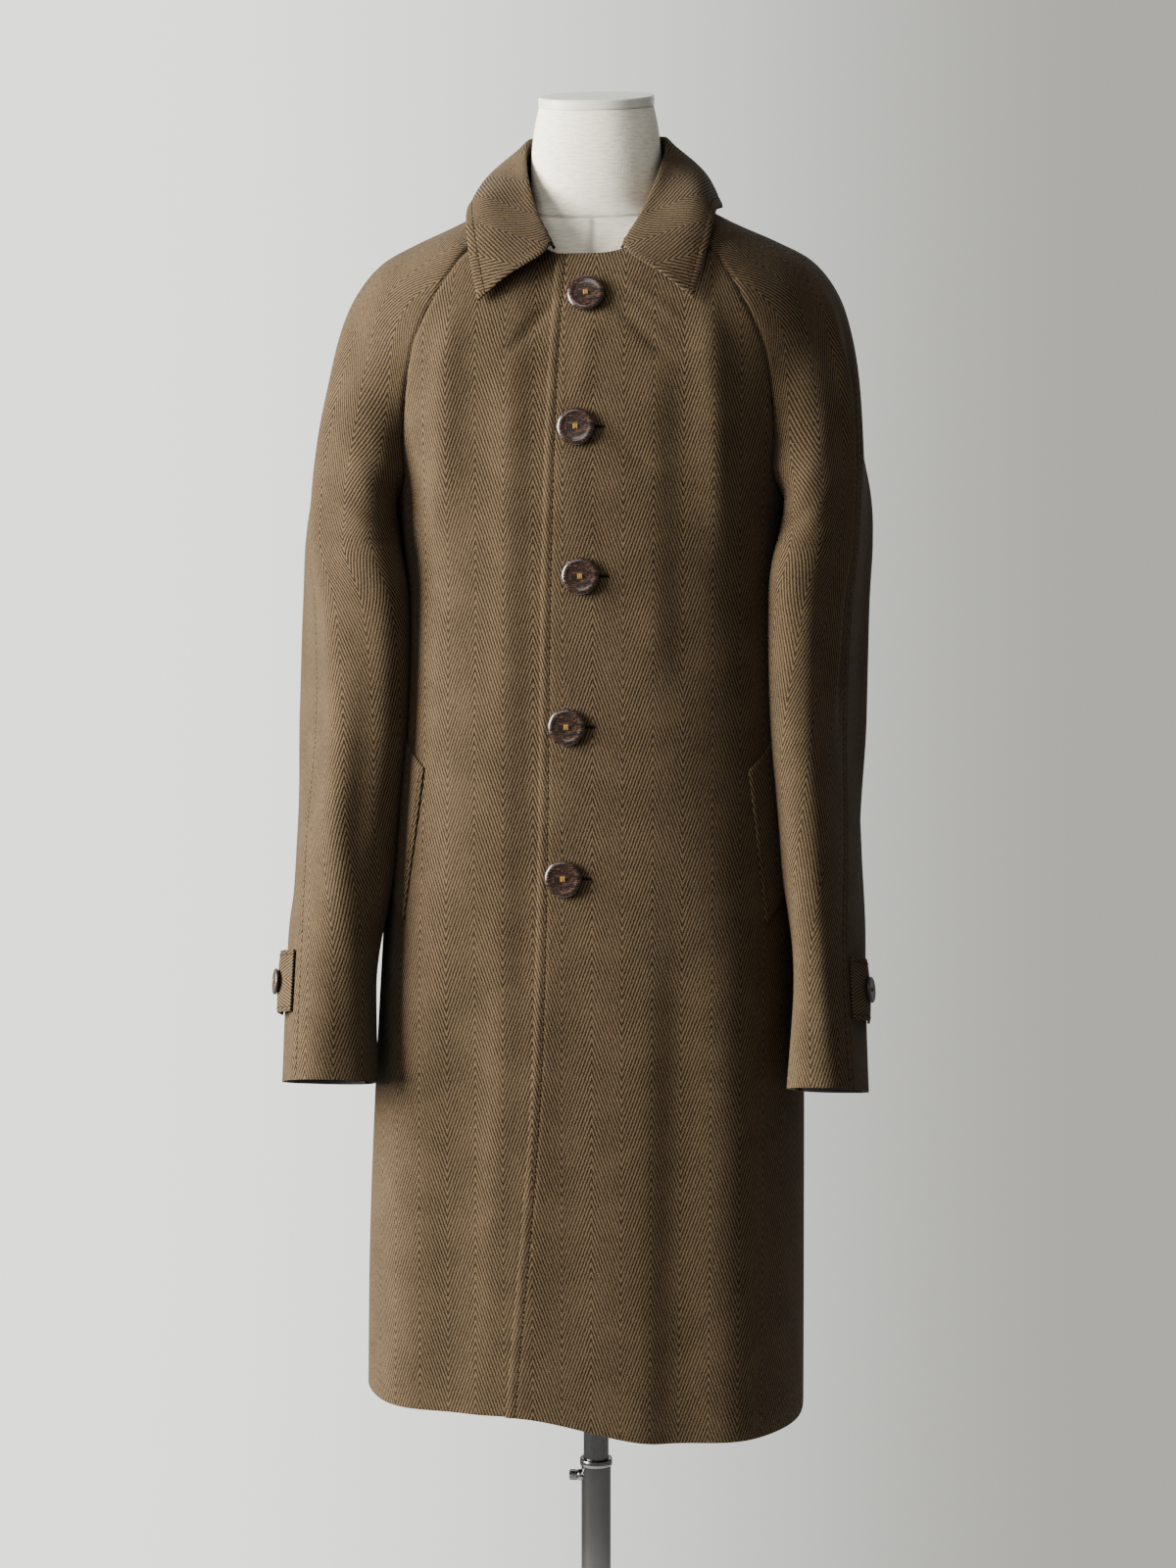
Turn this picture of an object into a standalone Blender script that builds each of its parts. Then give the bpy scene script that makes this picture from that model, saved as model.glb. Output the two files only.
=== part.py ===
"""Single-breasted raglan coat, buttoned, hanging on a limbless dress form with a telescopic stand.

Metres, +Z up. The front faces -Y and the wearer's left is +X. The origin is the middle of the base's
underside, on the pole's axis. Every cut piece of the coat is an open surface worked out from the
tables below, with a Solidify wall that lies inside it.
"""
import math

import bmesh
import bpy
import numpy as np
from mathutils import Matrix, Vector

COLLECTION_NAME = "coat_on_dress_form"


def table(names, *rows):
    """A short table as named columns."""
    values = np.array(rows, dtype=float)
    return {name: values[:, index] for index, name in enumerate(names)}


# Cloth
WALL = 0.0020
COLLAR_WALL = 0.0022
SEAM_TRIM = 0.00050
ARMHOLE_TRIM = 0.0022
ARMHOLE_TRIM_REACH = 0.045
LAP_GAP = 0.0012
PATCH_GAP = 0.0004
FADE_AT_SEAM = 0.030
LAP_HALF = 0.052

# Levels of the coat
HEM_Z = 0.413
UNDERARM_Z = 1.150
NECK_FRONT_Z = 1.388
NECK_BACK_Z = 1.440
NECK_CURVE = 3.0

# The hem hangs higher on the wearer's right, less and less up the skirt
HEM_LIFT = 0.020
HEM_LIFT_FROM = 0.070
HEM_LIFT_RUN = 0.130
HEM_LIFT_TOP = 0.750

# Coat body: sections by height, as rounded boxes
SECTION_POWER = 2.8
ANGLE_SCALE = 0.16
NORMAL_TURN = 0.004
NORMAL_RISE = 0.002
BODY = table(
    ("z", "half_width", "front", "back", "shift"),
    (0.413, 0.1885, 0.1410, 0.1400, -0.008),
    (0.560, 0.1870, 0.1390, 0.1370, -0.007),
    (0.720, 0.1830, 0.1360, 0.1320, -0.004),
    (0.880, 0.1765, 0.1320, 0.1270, -0.001),
    (1.020, 0.1690, 0.1285, 0.1235, 0.000),
    (1.150, 0.1640, 0.1270, 0.1235, 0.000),
    (1.210, 0.1720, 0.1255, 0.1240, 0.000),
    (1.280, 0.1860, 0.1200, 0.1220, 0.000),
    (1.330, 0.1990, 0.1110, 0.1150, 0.000),
    (1.365, 0.2050, 0.0980, 0.1060, 0.000),
    (1.390, 0.2050, 0.0850, 0.0965, 0.000),
    (1.418, 0.2050, 0.0480, 0.0830, 0.000),
    (1.440, 0.2050, 0.0300, 0.0690, 0.000),
    (1.455, 0.2050, 0.0200, 0.0520, 0.000),
)

# Raglan seams on the front and the back, from the armhole to the neck
RAGLAN_FRONT = table(
    ("z", "x"),
    (1.206, 0.1530),
    (1.236, 0.1530),
    (1.276, 0.1500),
    (1.315, 0.1430),
    (1.347, 0.1290),
    (1.372, 0.1145),
    (1.394, 0.0970),
    (1.418, 0.0560),
)
RAGLAN_BACK = table(
    ("z", "x"),
    (1.206, 0.1530),
    (1.270, 0.1490),
    (1.330, 0.1390),
    (1.380, 0.1180),
    (1.420, 0.0860),
    (1.452, 0.0500),
)

# Front edge of the upper front, and how far the lower front runs on under it
FRONT_EDGE = table(
    ("z", "x"),
    (0.413, -0.0640),
    (0.552, -0.0526),
    (0.716, -0.0417),
    (0.878, -0.0374),
    (1.116, -0.0347),
    (1.273, -0.0305),
    (1.390, -0.0260),
)
UNDERLAP_X = 0.022
TUCK_START = 0.032
TUCK_END = 0.006

# Largest folds: a crest runs from its top place to its low place, measured round the panel
FOLD_RUN_OUT = 0.25
FOLD_COLUMNS = ("top_z", "top_at", "low_z", "low_at", "width", "height")
FRONT_LEFT_FOLDS = table(
    FOLD_COLUMNS,
    (1.370, 0.098, 1.130, 0.116, 0.014, 0.0040),
    (1.330, 0.068, 1.000, 0.082, 0.024, -0.0025),
    (0.980, 0.112, 0.150, 0.150, 0.034, 0.0055),
    (0.900, 0.082, 0.150, 0.096, 0.032, -0.0050),
)
FRONT_RIGHT_FOLDS = table(
    FOLD_COLUMNS,
    (1.370, -0.112, 1.130, -0.124, 0.014, 0.0045),
    (1.330, -0.078, 1.000, -0.088, 0.026, -0.0030),
    (0.980, -0.128, 0.150, -0.165, 0.034, 0.0055),
    (0.880, -0.092, 0.150, -0.112, 0.032, -0.0050),
)
BACK_FOLDS = table(
    FOLD_COLUMNS,
    (1.320, 0.085, 0.150, 0.130, 0.034, 0.0060),
    (1.250, 0.030, 0.150, 0.046, 0.036, -0.0060),
    (1.200, -0.026, 0.150, -0.030, 0.034, 0.0055),
    (1.320, -0.092, 0.150, -0.125, 0.036, 0.0060),
)

# Sleeve over the shoulder: the overarm point of each row, the heights where the row meets the seams, and how
# far the row already has the shape of the first closed ring, cut off at an angle
SHOULDER = table(
    ("out_left", "out_right", "over_y", "over_z", "front_z", "back_z", "spread", "ring_share", "ring_end"),
    (0.0700, 0.0700, 0.010, 1.4460, 1.418, 1.452, -16.0, 0.00, 95.0),
    (0.1140, 0.1140, 0.012, 1.4220, 1.394, 1.425, -18.0, 0.00, 95.0),
    (0.1515, 0.1515, 0.012, 1.4055, 1.364, 1.388, -18.0, 0.00, 95.0),
    (0.1820, 0.1820, 0.011, 1.3890, 1.338, 1.352, -16.0, 0.00, 95.0),
    (0.2025, 0.2035, 0.008, 1.3640, 1.313, 1.320, -12.0, 0.03, 98.0),
    (0.2150, 0.2180, 0.002, 1.3330, 1.287, 1.290, -4.0, 0.14, 105.0),
    (0.2245, 0.2300, -0.004, 1.2900, 1.258, 1.258, 10.0, 0.38, 116.0),
    (0.2300, 0.2425, -0.009, 1.2350, 1.224, 1.224, 22.0, 0.68, 130.0),
    (0.2310, 0.2505, -0.013, 1.1900, 1.186, 1.186, 34.0, 0.92, 152.0),
)
# Sleeve below the armhole: closed rings, turned in plan and pitched forward towards the cuff. The overarm
# seam lies ahead of the outermost point by the seam angle
RINGS = table(
    ("z", "out_left", "out_right", "mid_y", "front", "back", "turn_left", "turn_right", "pitch", "seam",
     "clear"),
    (1.150, 0.2300, 0.2540, 0.000, 0.106, 0.090, 8.0, 11.0, 0.0, 12.0, 0.0030),
    (1.095, 0.2275, 0.2555, -0.005, 0.103, 0.089, 10.0, 16.0, 3.0, 14.0, 0.0040),
    (1.000, 0.2275, 0.2580, -0.018, 0.096, 0.086, 12.0, 19.0, 7.0, 16.0, 0.0045),
    (0.900, 0.2300, 0.2615, -0.039, 0.082, 0.076, 13.0, 19.0, 11.0, 20.0, 0.0075),
    (0.800, 0.2310, 0.2620, -0.065, 0.065, 0.063, 14.0, 19.0, 13.0, 28.0, 0.0080),
    (0.702, 0.2340, 0.2600, -0.091, 0.054, 0.053, 14.0, 19.0, 13.0, 28.0, 0.0060),
)
RING_POWER = 2.8
RING_FIRST_GUESS = 0.03
RING_FIT_STEPS = 40
RING_FIT_SHARE = 0.4
ARC_HANDLE = 0.55
RING_HANDLE = 0.95
SLEEVE_SAMPLES = 41
FINE_SAMPLES = 164
# Folds on the sleeve halves, measured round from the overarm seam
SLEEVE_LEFT_FRONT_FOLDS = table(
    FOLD_COLUMNS,
    (1.400, 0.060, 0.960, 0.038, 0.012, 0.0050),
    (1.360, 0.036, 0.980, 0.018, 0.012, -0.0050),
    (1.180, 0.118, 0.760, 0.094, 0.020, 0.0030),
)
SLEEVE_RIGHT_FRONT_FOLDS = table(
    FOLD_COLUMNS,
    (1.390, 0.052, 0.720, 0.058, 0.015, 0.0050),
    (1.300, 0.088, 0.860, 0.082, 0.018, -0.0035),
    (1.180, 0.122, 0.760, 0.096, 0.020, 0.0030),
)
SLEEVE_BACK_FOLDS = table(
    FOLD_COLUMNS,
    (1.330, 0.080, 0.900, 0.070, 0.020, 0.0050),
    (1.080, 0.120, 0.820, 0.060, 0.022, -0.0045),
)

# Collar: roll line and outer edge at stations from the back's middle to the front end
COLLAR = table(
    ("station", "roll_x", "roll_y", "roll_z", "edge_x", "edge_y", "edge_z"),
    (0.00, 0.0000, 0.0640, 1.5000, 0.0000, 0.1080, 1.4290),
    (0.22, 0.0425, 0.0450, 1.4990, 0.0790, 0.0800, 1.4370),
    (0.42, 0.0578, 0.0080, 1.4920, 0.1060, 0.0120, 1.4350),
    (0.62, 0.0550, -0.0330, 1.4620, 0.1040, -0.0560, 1.4250),
    (0.80, 0.0440, -0.0640, 1.4270, 0.0980, -0.0880, 1.3920),
    (1.00, 0.0285, -0.0880, 1.3970, 0.0880, -0.1085, 1.3490),
)
COLLAR_END_X = 0.027
COLLAR_INSET = 0.0036
COLLAR_RISE = 0.0020
NECK_SMOOTHING = 12
ROLL_OUT = 0.0100
ROLL_DROP = 0.0075
FALL_BULGE = 0.0055
STAND_SHARE = 0.70

# Pocket welts: the front long edge of each, its width, and how far its ends rise towards the side
WELT = table(
    ("z", "x"),
    (0.840, 0.1480),
    (0.968, 0.1330),
)
WELT_WIDTH = 0.031
WELT_RISE = 0.026
WELT_WALL = 0.0022

# Sleeve tabs, from the overarm seam round to the back of the sleeve
TAB_LOW_Z = 0.757
TAB_HIGH_Z = 0.807
TAB_FROM = 0.004
TAB_LENGTH = 0.075
TAB_POINT = 0.014
TAB_PUCKER = 0.006
TAB_GAP = 0.0010
TAB_BUTTON_AT = 0.375

# Buttons
FRONT_BUTTONS = table(
    ("x", "z"),
    (0.0004, 1.3530),
    (-0.0060, 1.2460),
    (-0.0020, 1.1260),
    (-0.0130, 1.0040),
    (-0.0156, 0.8806),
)
FRONT_BUTTON_RADIUS = 0.0152
SLEEVE_BUTTON_RADIUS = 0.0110
# Half section of a button, as shares of its radius
BUTTON = table(
    ("across", "up"),
    (0.00, 0.21),
    (0.58, 0.21),
    (0.80, 0.32),
    (0.96, 0.23),
    (1.00, 0.135),
    (0.86, 0.00),
    (0.00, 0.00),
)
BUTTON_LIFT = 0.0008
BUTTON_SIDES = 18

# Dress form, with the top of its neck tilted forward
FORM_POWER = 2.3
FORM = table(
    ("z", "half_width", "front", "back", "tilt"),
    (0.745, 0.132, 0.090, 0.098, 0.0),
    (0.800, 0.148, 0.098, 0.112, 0.0),
    (0.900, 0.146, 0.096, 0.110, 0.0),
    (1.020, 0.116, 0.086, 0.088, 0.0),
    (1.150, 0.134, 0.098, 0.098, 0.0),
    (1.260, 0.146, 0.103, 0.103, 0.0),
    (1.330, 0.152, 0.088, 0.096, 0.0),
    (1.368, 0.154, 0.070, 0.082, 0.0),
    (1.388, 0.142, 0.058, 0.070, 0.0),
    (1.402, 0.116, 0.050, 0.062, 0.0),
    (1.414, 0.082, 0.046, 0.056, 0.0),
    (1.430, 0.0580, 0.0455, 0.0520, 0.0),
    (1.450, 0.0550, 0.0475, 0.0505, 4.0),
    (1.475, 0.0545, 0.0485, 0.0495, 9.0),
    (1.500, 0.0520, 0.0475, 0.0480, 12.0),
    (1.519, 0.0480, 0.0455, 0.0465, 13.0),
)
FORM_SIDES = 32
CAP_THICK = 0.0080
CAP_GAP = 0.0004
CAP_OVERHANG = 0.0006
CAP_ROUND = 0.0020

# Stand
SLIDE_GAP = 0.0004
UPPER_TUBE_RADIUS = 0.0110
UPPER_TUBE_LOW = 0.150
UPPER_TUBE_HIGH = 0.805
TUBE_WALL = 0.0015
LOWER_TUBE_RADIUS = 0.0129
LOWER_TUBE_LOW = 0.0304
LOWER_TUBE_HIGH = 0.356
RIM_RADIUS = 0.0141
RIM_HEIGHT = 0.006
BOSS_Z = 0.340
BOSS_RADIUS = 0.0050
BOSS_REACH = 0.0158
SCREW_RADIUS = 0.0020
KNOB_RADIUS = 0.0047
KNOB_LENGTH = 0.0072
KNOB_RIDGES = 12
KNOB_GROOVE = 0.92
KNOB_ROUND = 0.0006
# Half section of the base plate with its hub: radius and height
BASE = (
    (0.0, 0.030),
    (0.024, 0.030),
    (0.028, 0.0264),
    (0.0314, 0.0115),
    (0.160, 0.010),
    (0.168, 0.007),
    (0.170, 0.003),
    (0.170, 0.0),
    (0.0, 0.0),
)
ROUND_STEPS = 32
BASE_STEPS = 48

# Grid sizes of the panels: rows along, columns across
SKIRT_ROWS = 11
RING_ROWS = 12
FRONT_COLUMNS = 11
BACK_COLUMNS = 18
SLEEVE_COLUMNS = 8
COLLAR_COLUMNS = 34
COLLAR_ROWS = 11
WELT_ROWS = 5
WELT_COLUMNS = 3
TAB_COLUMNS = 8
TAB_ROWS = 4

# Colours, linear
CLOTH_COLOUR = (0.105, 0.070, 0.043)
LINEN_COLOUR = (0.62, 0.59, 0.51)
CAP_COLOUR = (0.48, 0.47, 0.40)
HORN_COLOUR = (0.045, 0.020, 0.010)
CHROME_COLOUR = (0.55, 0.55, 0.54)
BASE_COLOUR = (0.30, 0.30, 0.30)


def smooth_table(keys, values, at):
    """Values between the rows of a table, on a smooth curve through them."""
    values = np.asarray(values, dtype=float)
    at = np.clip(np.asarray(at, dtype=float), keys[0], keys[-1])
    slopes = np.gradient(values, keys, axis=0)
    low = np.clip(np.searchsorted(keys, at, side="right") - 1, 0, len(keys) - 2)
    step = keys[low + 1] - keys[low]
    t = (at - keys[low]) / step
    extra = (1,) * (values.ndim - 1)
    t = t.reshape(t.shape + extra)
    step = step.reshape(step.shape + extra)
    start, end = values[low], values[low + 1]
    start_slope, end_slope = slopes[low] * step, slopes[low + 1] * step
    return (
        start * (1 + 2 * t) * (1 - t) ** 2
        + start_slope * t * (1 - t) ** 2
        + end * t * t * (3 - 2 * t)
        + end_slope * t * t * (t - 1)
    )


def ease(t):
    """0 to 1 with level ends."""
    t = np.clip(t, 0.0, 1.0)
    return t * t * (3 - 2 * t)


def rounded_box(angle, power):
    """Unit rounded-box point at an angle: its sideways and its forward share."""
    side, ahead = np.sin(angle), np.cos(angle)
    reach = (np.abs(side) ** power + np.abs(ahead) ** power) ** (-1.0 / power)
    return side * reach, ahead * reach


# Coat body
def body_point(angle, z, depth_name):
    """A point of the body's surface. The angle runs from the middle of the front or back towards +X."""
    half = smooth_table(BODY["z"], BODY["half_width"], z)
    depth = smooth_table(BODY["z"], BODY[depth_name], z)
    shift = smooth_table(BODY["z"], BODY["shift"], z)
    side, ahead = rounded_box(angle, SECTION_POWER)
    facing = -1.0 if depth_name == "front" else 1.0
    return np.stack([shift + half * side, facing * depth * ahead, z + 0.0 * side], axis=-1)


def body_angle(x, z):
    """The angle at which the body's section has this x."""
    half = smooth_table(BODY["z"], BODY["half_width"], z)
    shift = smooth_table(BODY["z"], BODY["shift"], z)
    share = (x - shift) / half
    size = np.clip(np.abs(share), 1e-6, 1.0 - 1e-6)
    return np.sign(share) * np.arctan2(1.0, (size ** -SECTION_POWER - 1.0) ** (1.0 / SECTION_POWER))


def body_reach(y, z, side):
    """How far out to this side the body's surface is at this depth and height."""
    depth_name = "front" if y < 0 else "back"
    half = smooth_table(BODY["z"], BODY["half_width"], z)
    depth = smooth_table(BODY["z"], BODY[depth_name], z)
    shift = smooth_table(BODY["z"], BODY["shift"], z)
    share = min(abs(y) / depth, 1.0)
    return side * shift + half * (1.0 - share ** SECTION_POWER) ** (1.0 / SECTION_POWER)


def raglan_angle(z, seam):
    """Where the panel ends: at the side seam below the armhole, along the raglan seam above it."""
    keys = np.concatenate([[UNDERARM_Z], seam["z"]])
    angles = np.concatenate([[math.pi / 2], body_angle(seam["x"], seam["z"])])
    return smooth_table(keys, angles, z)


def arc_length(angle, z, depth_name, steps=24):
    """Length round the panel from its middle line to this angle."""
    total = np.zeros_like(angle)
    last = body_point(0.0 * angle, z, depth_name)
    for step in range(1, steps + 1):
        point = body_point(angle * step / steps, z, depth_name)
        total = total + np.linalg.norm(point - last, axis=-1)
        last = point
    return total * np.sign(angle)


def body_normal(angle, z, depth_name):
    """The outward normal of the body's surface."""
    across = body_point(angle + NORMAL_TURN, z, depth_name) - body_point(angle - NORMAL_TURN, z, depth_name)
    up = body_point(angle, z + NORMAL_RISE, depth_name) - body_point(angle, z - NORMAL_RISE, depth_name)
    normal = np.cross(across, up)
    if depth_name == "back":
        normal = -normal
    return normal / np.linalg.norm(normal, axis=-1, keepdims=True)


def fold_height(folds, across, z):
    """How far the folds of a panel stand out of it here."""
    height = np.zeros_like(across)
    for row in range(len(folds["height"])):
        run = (folds["top_z"][row] - z) / (folds["top_z"][row] - folds["low_z"][row])
        crest = folds["top_at"][row] + (folds["low_at"][row] - folds["top_at"][row]) * np.clip(run, 0, 1)
        length = ease(run / FOLD_RUN_OUT) * ease((1.0 - run) / FOLD_RUN_OUT)
        bump = np.exp(-(((across - crest) / folds["width"][row]) ** 2))
        height = height + folds["height"][row] * length * bump
    return height


def front_outer(angle, z, folds, lift=0.0):
    """The outside of a front, folds and all, moved out by a lift."""
    across = arc_length(angle, z, "front")
    to_seam = (raglan_angle(z, RAGLAN_FRONT) - np.abs(angle)) * ANGLE_SCALE
    fade = ease(to_seam / FADE_AT_SEAM) * ease((np.abs(across) - LAP_HALF) / FADE_AT_SEAM)
    out = fold_height(folds, across, z) * fade + lift
    return body_point(angle, z, "front") + body_normal(angle, z, "front") * out[..., None]


def raised_hem(angle, z, depth_name):
    """Heights of a panel's grid with the hem lifted on the wearer's right."""
    x = body_point(angle, z, depth_name)[..., 0]
    sideways = ease((HEM_LIFT_FROM - x) / HEM_LIFT_RUN)
    return z + HEM_LIFT * sideways * ease((HEM_LIFT_TOP - z) / (HEM_LIFT_TOP - HEM_Z))


def trimmed_end(seam_z, seam):
    """The angle where a panel stops short of its seam, further short where the armhole turns under."""
    away = np.abs(seam_z - UNDERARM_Z - ARMHOLE_TRIM_REACH / 2) / ARMHOLE_TRIM_REACH
    under = 1.0 - np.clip(away, 0.0, 1.0)
    return raglan_angle(seam_z, seam) - (SEAM_TRIM + ARMHOLE_TRIM * under) / ANGLE_SCALE


def panel_levels(neck_z, half):
    """Row heights of a panel at its middle and at its seam: above the armhole, those of the sleeve."""
    skirt = np.linspace(HEM_Z, UNDERARM_Z, SKIRT_ROWS + 1)
    seam = SHOULDER[half + "_z"][::-1].copy()
    seam[-1] -= SEAM_TRIM
    rise = (seam - UNDERARM_Z) / (seam[-1] - UNDERARM_Z)
    middle = UNDERARM_Z + rise * (neck_z - SEAM_TRIM - UNDERARM_Z)
    return np.concatenate([skirt, middle]), np.concatenate([skirt, seam])


def front_grid(side):
    """Angles and heights of a front's grid. Side +1 is the wearer's left, whose edge laps over."""
    middle_z, seam_z = panel_levels(NECK_FRONT_Z, "front")
    edge_x = smooth_table(FRONT_EDGE["z"], FRONT_EDGE["x"], middle_z)
    if side < 0:
        edge_x = np.full_like(middle_z, UNDERLAP_X)
    edge = body_angle(edge_x, middle_z)
    end = side * trimmed_end(seam_z, RAGLAN_FRONT)
    share = np.linspace(0.0, 1.0, FRONT_COLUMNS + 1)
    angle = edge[:, None] + (end - edge)[:, None] * share
    towards_seam = np.clip(angle / end[:, None], 0.0, 1.0) ** NECK_CURVE
    z = middle_z[:, None] + (seam_z - middle_z)[:, None] * towards_seam
    return angle, raised_hem(angle, z, "front")


def front_points(side):
    """The outside of one front. The lower front is tucked in where the upper one laps over it."""
    angle, z = front_grid(side)
    if side > 0:
        return front_outer(angle, z, FRONT_LEFT_FOLDS)
    edge = smooth_table(FRONT_EDGE["z"], FRONT_EDGE["x"], z)
    behind = body_point(angle, z, "front")[..., 0] - edge
    tuck = ease((behind + TUCK_START) / (TUCK_START - TUCK_END)) * (WALL + LAP_GAP)
    return front_outer(angle, z, FRONT_RIGHT_FOLDS, -tuck)


def back_points():
    """The outside of the back, one piece from side seam to side seam."""
    middle_z, seam_z = panel_levels(NECK_BACK_Z, "back")
    end = trimmed_end(seam_z, RAGLAN_BACK)
    share = np.linspace(-1.0, 1.0, BACK_COLUMNS + 1)
    angle = end[:, None] * share
    z = middle_z[:, None] + (seam_z - middle_z)[:, None] * ease(np.abs(share))
    z = raised_hem(angle, z, "back")
    across = arc_length(angle, z, "back")
    to_seam = (end[:, None] - np.abs(angle)) * ANGLE_SCALE
    out = fold_height(BACK_FOLDS, across, z) * ease(to_seam / FADE_AT_SEAM)
    return body_point(angle, z, "back") + body_normal(angle, z, "back") * out[..., None]


# Sleeves
def bezier(start, start_handle, end_handle, end, t):
    """Points of a cubic curve."""
    t = t[:, None]
    return (
        start * (1 - t) ** 3
        + 3 * start_handle * t * (1 - t) ** 2
        + 3 * end_handle * t * t * (1 - t)
        + end * t ** 3
    )


def even_spacing(points, places=None):
    """The same curve with its points evenly spaced, or at the given shares of its length."""
    steps = np.linalg.norm(np.diff(points, axis=0), axis=1)
    length = np.concatenate([[0.0], np.cumsum(steps)])
    if places is None:
        places = np.linspace(0.0, 1.0, len(points))
    return np.stack([np.interp(places * length[-1], length, points[:, axis]) for axis in range(3)], axis=1)


def seam_point(z, side, half):
    """A point of the raglan seam at this height, on the front or the back."""
    seam = RAGLAN_FRONT if half == "front" else RAGLAN_BACK
    return body_point(side * raglan_angle(z, seam), z, half)


def shoulder_row(row, side, half):
    """One row of the sleeve from its overarm point down to the raglan seam."""
    facing = -1.0 if half == "front" else 1.0
    out = SHOULDER["out_left" if side > 0 else "out_right"][row]
    over = np.array([side * out, SHOULDER["over_y"][row], SHOULDER["over_z"][row]])
    end = seam_point(SHOULDER[half + "_z"][row], side, half)
    depth = abs(end[1] - over[1])
    flat = np.array([over[0] - end[0], 0.0, over[2] - end[2]])
    width = np.linalg.norm(flat)
    spread = math.radians(SHOULDER["spread"][row])
    leave = flat / width * math.cos(spread) + np.array([0.0, facing, 0.0]) * math.sin(spread)
    round_share = max(math.sin(spread), 0.0)
    ring_depth = RINGS[half][0] * RING_HANDLE
    over_handle = ARC_HANDLE * depth * (1 - round_share) + ring_depth * round_share
    end_handle = ARC_HANDLE * width * (1 - round_share) + ring_depth * round_share
    t = np.linspace(0.0, 1.0, FINE_SAMPLES)
    curve = bezier(over, over + np.array([0.0, facing * over_handle, 0.0]), end + leave * end_handle, end, t)
    places = np.linspace(0.0, 1.0, SLEEVE_SAMPLES)
    arch = even_spacing(curve, places)
    middle, half_width = fitted_ring(0, side)
    first_angle, last_angle = math.radians(RINGS["seam"][0]), math.radians(SHOULDER["ring_end"][row])
    x, y = ring_outline(first_angle + (-facing * last_angle - first_angle) * t, 0, side, middle, half_width)
    x = x + out - RINGS["out_left" if side > 0 else "out_right"][0]
    ring = even_spacing(np.stack([side * x, y, over[2] + (end[2] - over[2]) * t], axis=1), places)
    return arch + (ring - arch) * SHOULDER["ring_share"][row]


def ring_row(row, side, half):
    """One half of a closed sleeve ring, from the overarm seam to the underarm seam."""
    z, mid_y = RINGS["z"][row], RINGS["mid_y"][row]
    pitch, seam = math.radians(RINGS["pitch"][row]), math.radians(RINGS["seam"][row])
    middle, half_width = fitted_ring(row, side)
    angle = np.linspace(seam, math.pi if half == "front" else -math.pi, FINE_SAMPLES)
    x, y = ring_outline(angle, row, side, middle, half_width)
    curve = np.stack([side * x, y, z - (y - mid_y) * math.tan(pitch)], axis=1)
    return even_spacing(curve, np.linspace(0.0, 1.0, SLEEVE_SAMPLES))


def ring_outline(angle, row, side, middle, half_width):
    """A sleeve ring in plan, as if on the +X side. The angle runs forward from the outermost point."""
    turn = math.radians(RINGS["turn_left" if side > 0 else "turn_right"][row])
    ahead, outward = rounded_box(angle, RING_POWER)
    ahead = np.where(ahead > 0, ahead * RINGS["front"][row], ahead * RINGS["back"][row])
    outward = outward * half_width
    x = middle + outward * math.cos(turn) - ahead * math.sin(turn)
    return x, RINGS["mid_y"][row] - ahead * math.cos(turn) - outward * math.sin(turn)


def fitted_ring(row, side):
    """The middle and half width at which a ring reaches its outer line and stays clear of the body."""
    out = RINGS["out_left" if side > 0 else "out_right"][row]
    angle = np.linspace(0.0, 2 * math.pi, 120)
    middle, half_width = out, RING_FIRST_GUESS
    for _ in range(RING_FIT_STEPS):
        x, y = ring_outline(angle, row, side, middle, half_width)
        middle += out - x.max()
        gap = (x - [body_reach(place, RINGS["z"][row], side) for place in y]).min()
        half_width += RING_FIT_SHARE * (gap - RINGS["clear"][row])
    return middle, half_width


def sleeve_points(side, half, rows, starts, ends, columns):
    """Part of a sleeve half: rows between those of the tables, each from one place round it to another."""
    shoulder_count = len(SHOULDER["spread"])
    rings = np.array([ring_row(row, side, half) for row in range(len(RINGS["z"]))])
    keys = np.concatenate([[shoulder_row(row, side, half) for row in range(shoulder_count)], rings])
    curves = smooth_table(np.arange(len(keys)), keys, rows)
    ring_places = shoulder_count + np.arange(len(rings))
    in_rings = np.asarray(rows)[:, None, None] >= shoulder_count
    near_seam = np.linspace(0.0, 1.0, SLEEVE_SAMPLES)[:, None] ** 3
    curves = curves + in_rings * near_seam * (smooth_table(ring_places, rings, rows) - curves)
    heights = np.concatenate([SHOULDER[half + "_z"], [UNDERARM_Z]])
    share = np.linspace(0.0, 1.0, SLEEVE_SAMPLES)[:, None]
    points = []
    for row, curve, start, end in zip(rows, curves, starts, ends):
        if row < shoulder_count:
            seam_z = smooth_table(np.arange(shoulder_count + 1), heights, row)
            curve = curve + (seam_point(seam_z, side, half) - curve[-1]) * share ** 2
        length = np.linalg.norm(np.diff(curve, axis=0), axis=1).sum()
        places = np.linspace(start, length - SEAM_TRIM if end is None else end, columns + 1)
        points.append(even_spacing(curve, places / length))
    return np.array(points)


def ring_row_at(z):
    """The row place, between the rows of the sleeve tables, of a height below the armhole."""
    rows = len(SHOULDER["spread"]) + np.arange(len(RINGS["z"]))
    return np.interp(-z, -RINGS["z"], rows)


def grid_normals(points, outward_sign):
    """Normals of a grid of points."""
    normal = np.cross(np.gradient(points, axis=1), np.gradient(points, axis=0)) * outward_sign
    return normal / np.linalg.norm(normal, axis=-1, keepdims=True)


def sleeve_sign(side, half):
    """Which way round a sleeve grid faces outward."""
    return side * (1.0 if half == "front" else -1.0)


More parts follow.
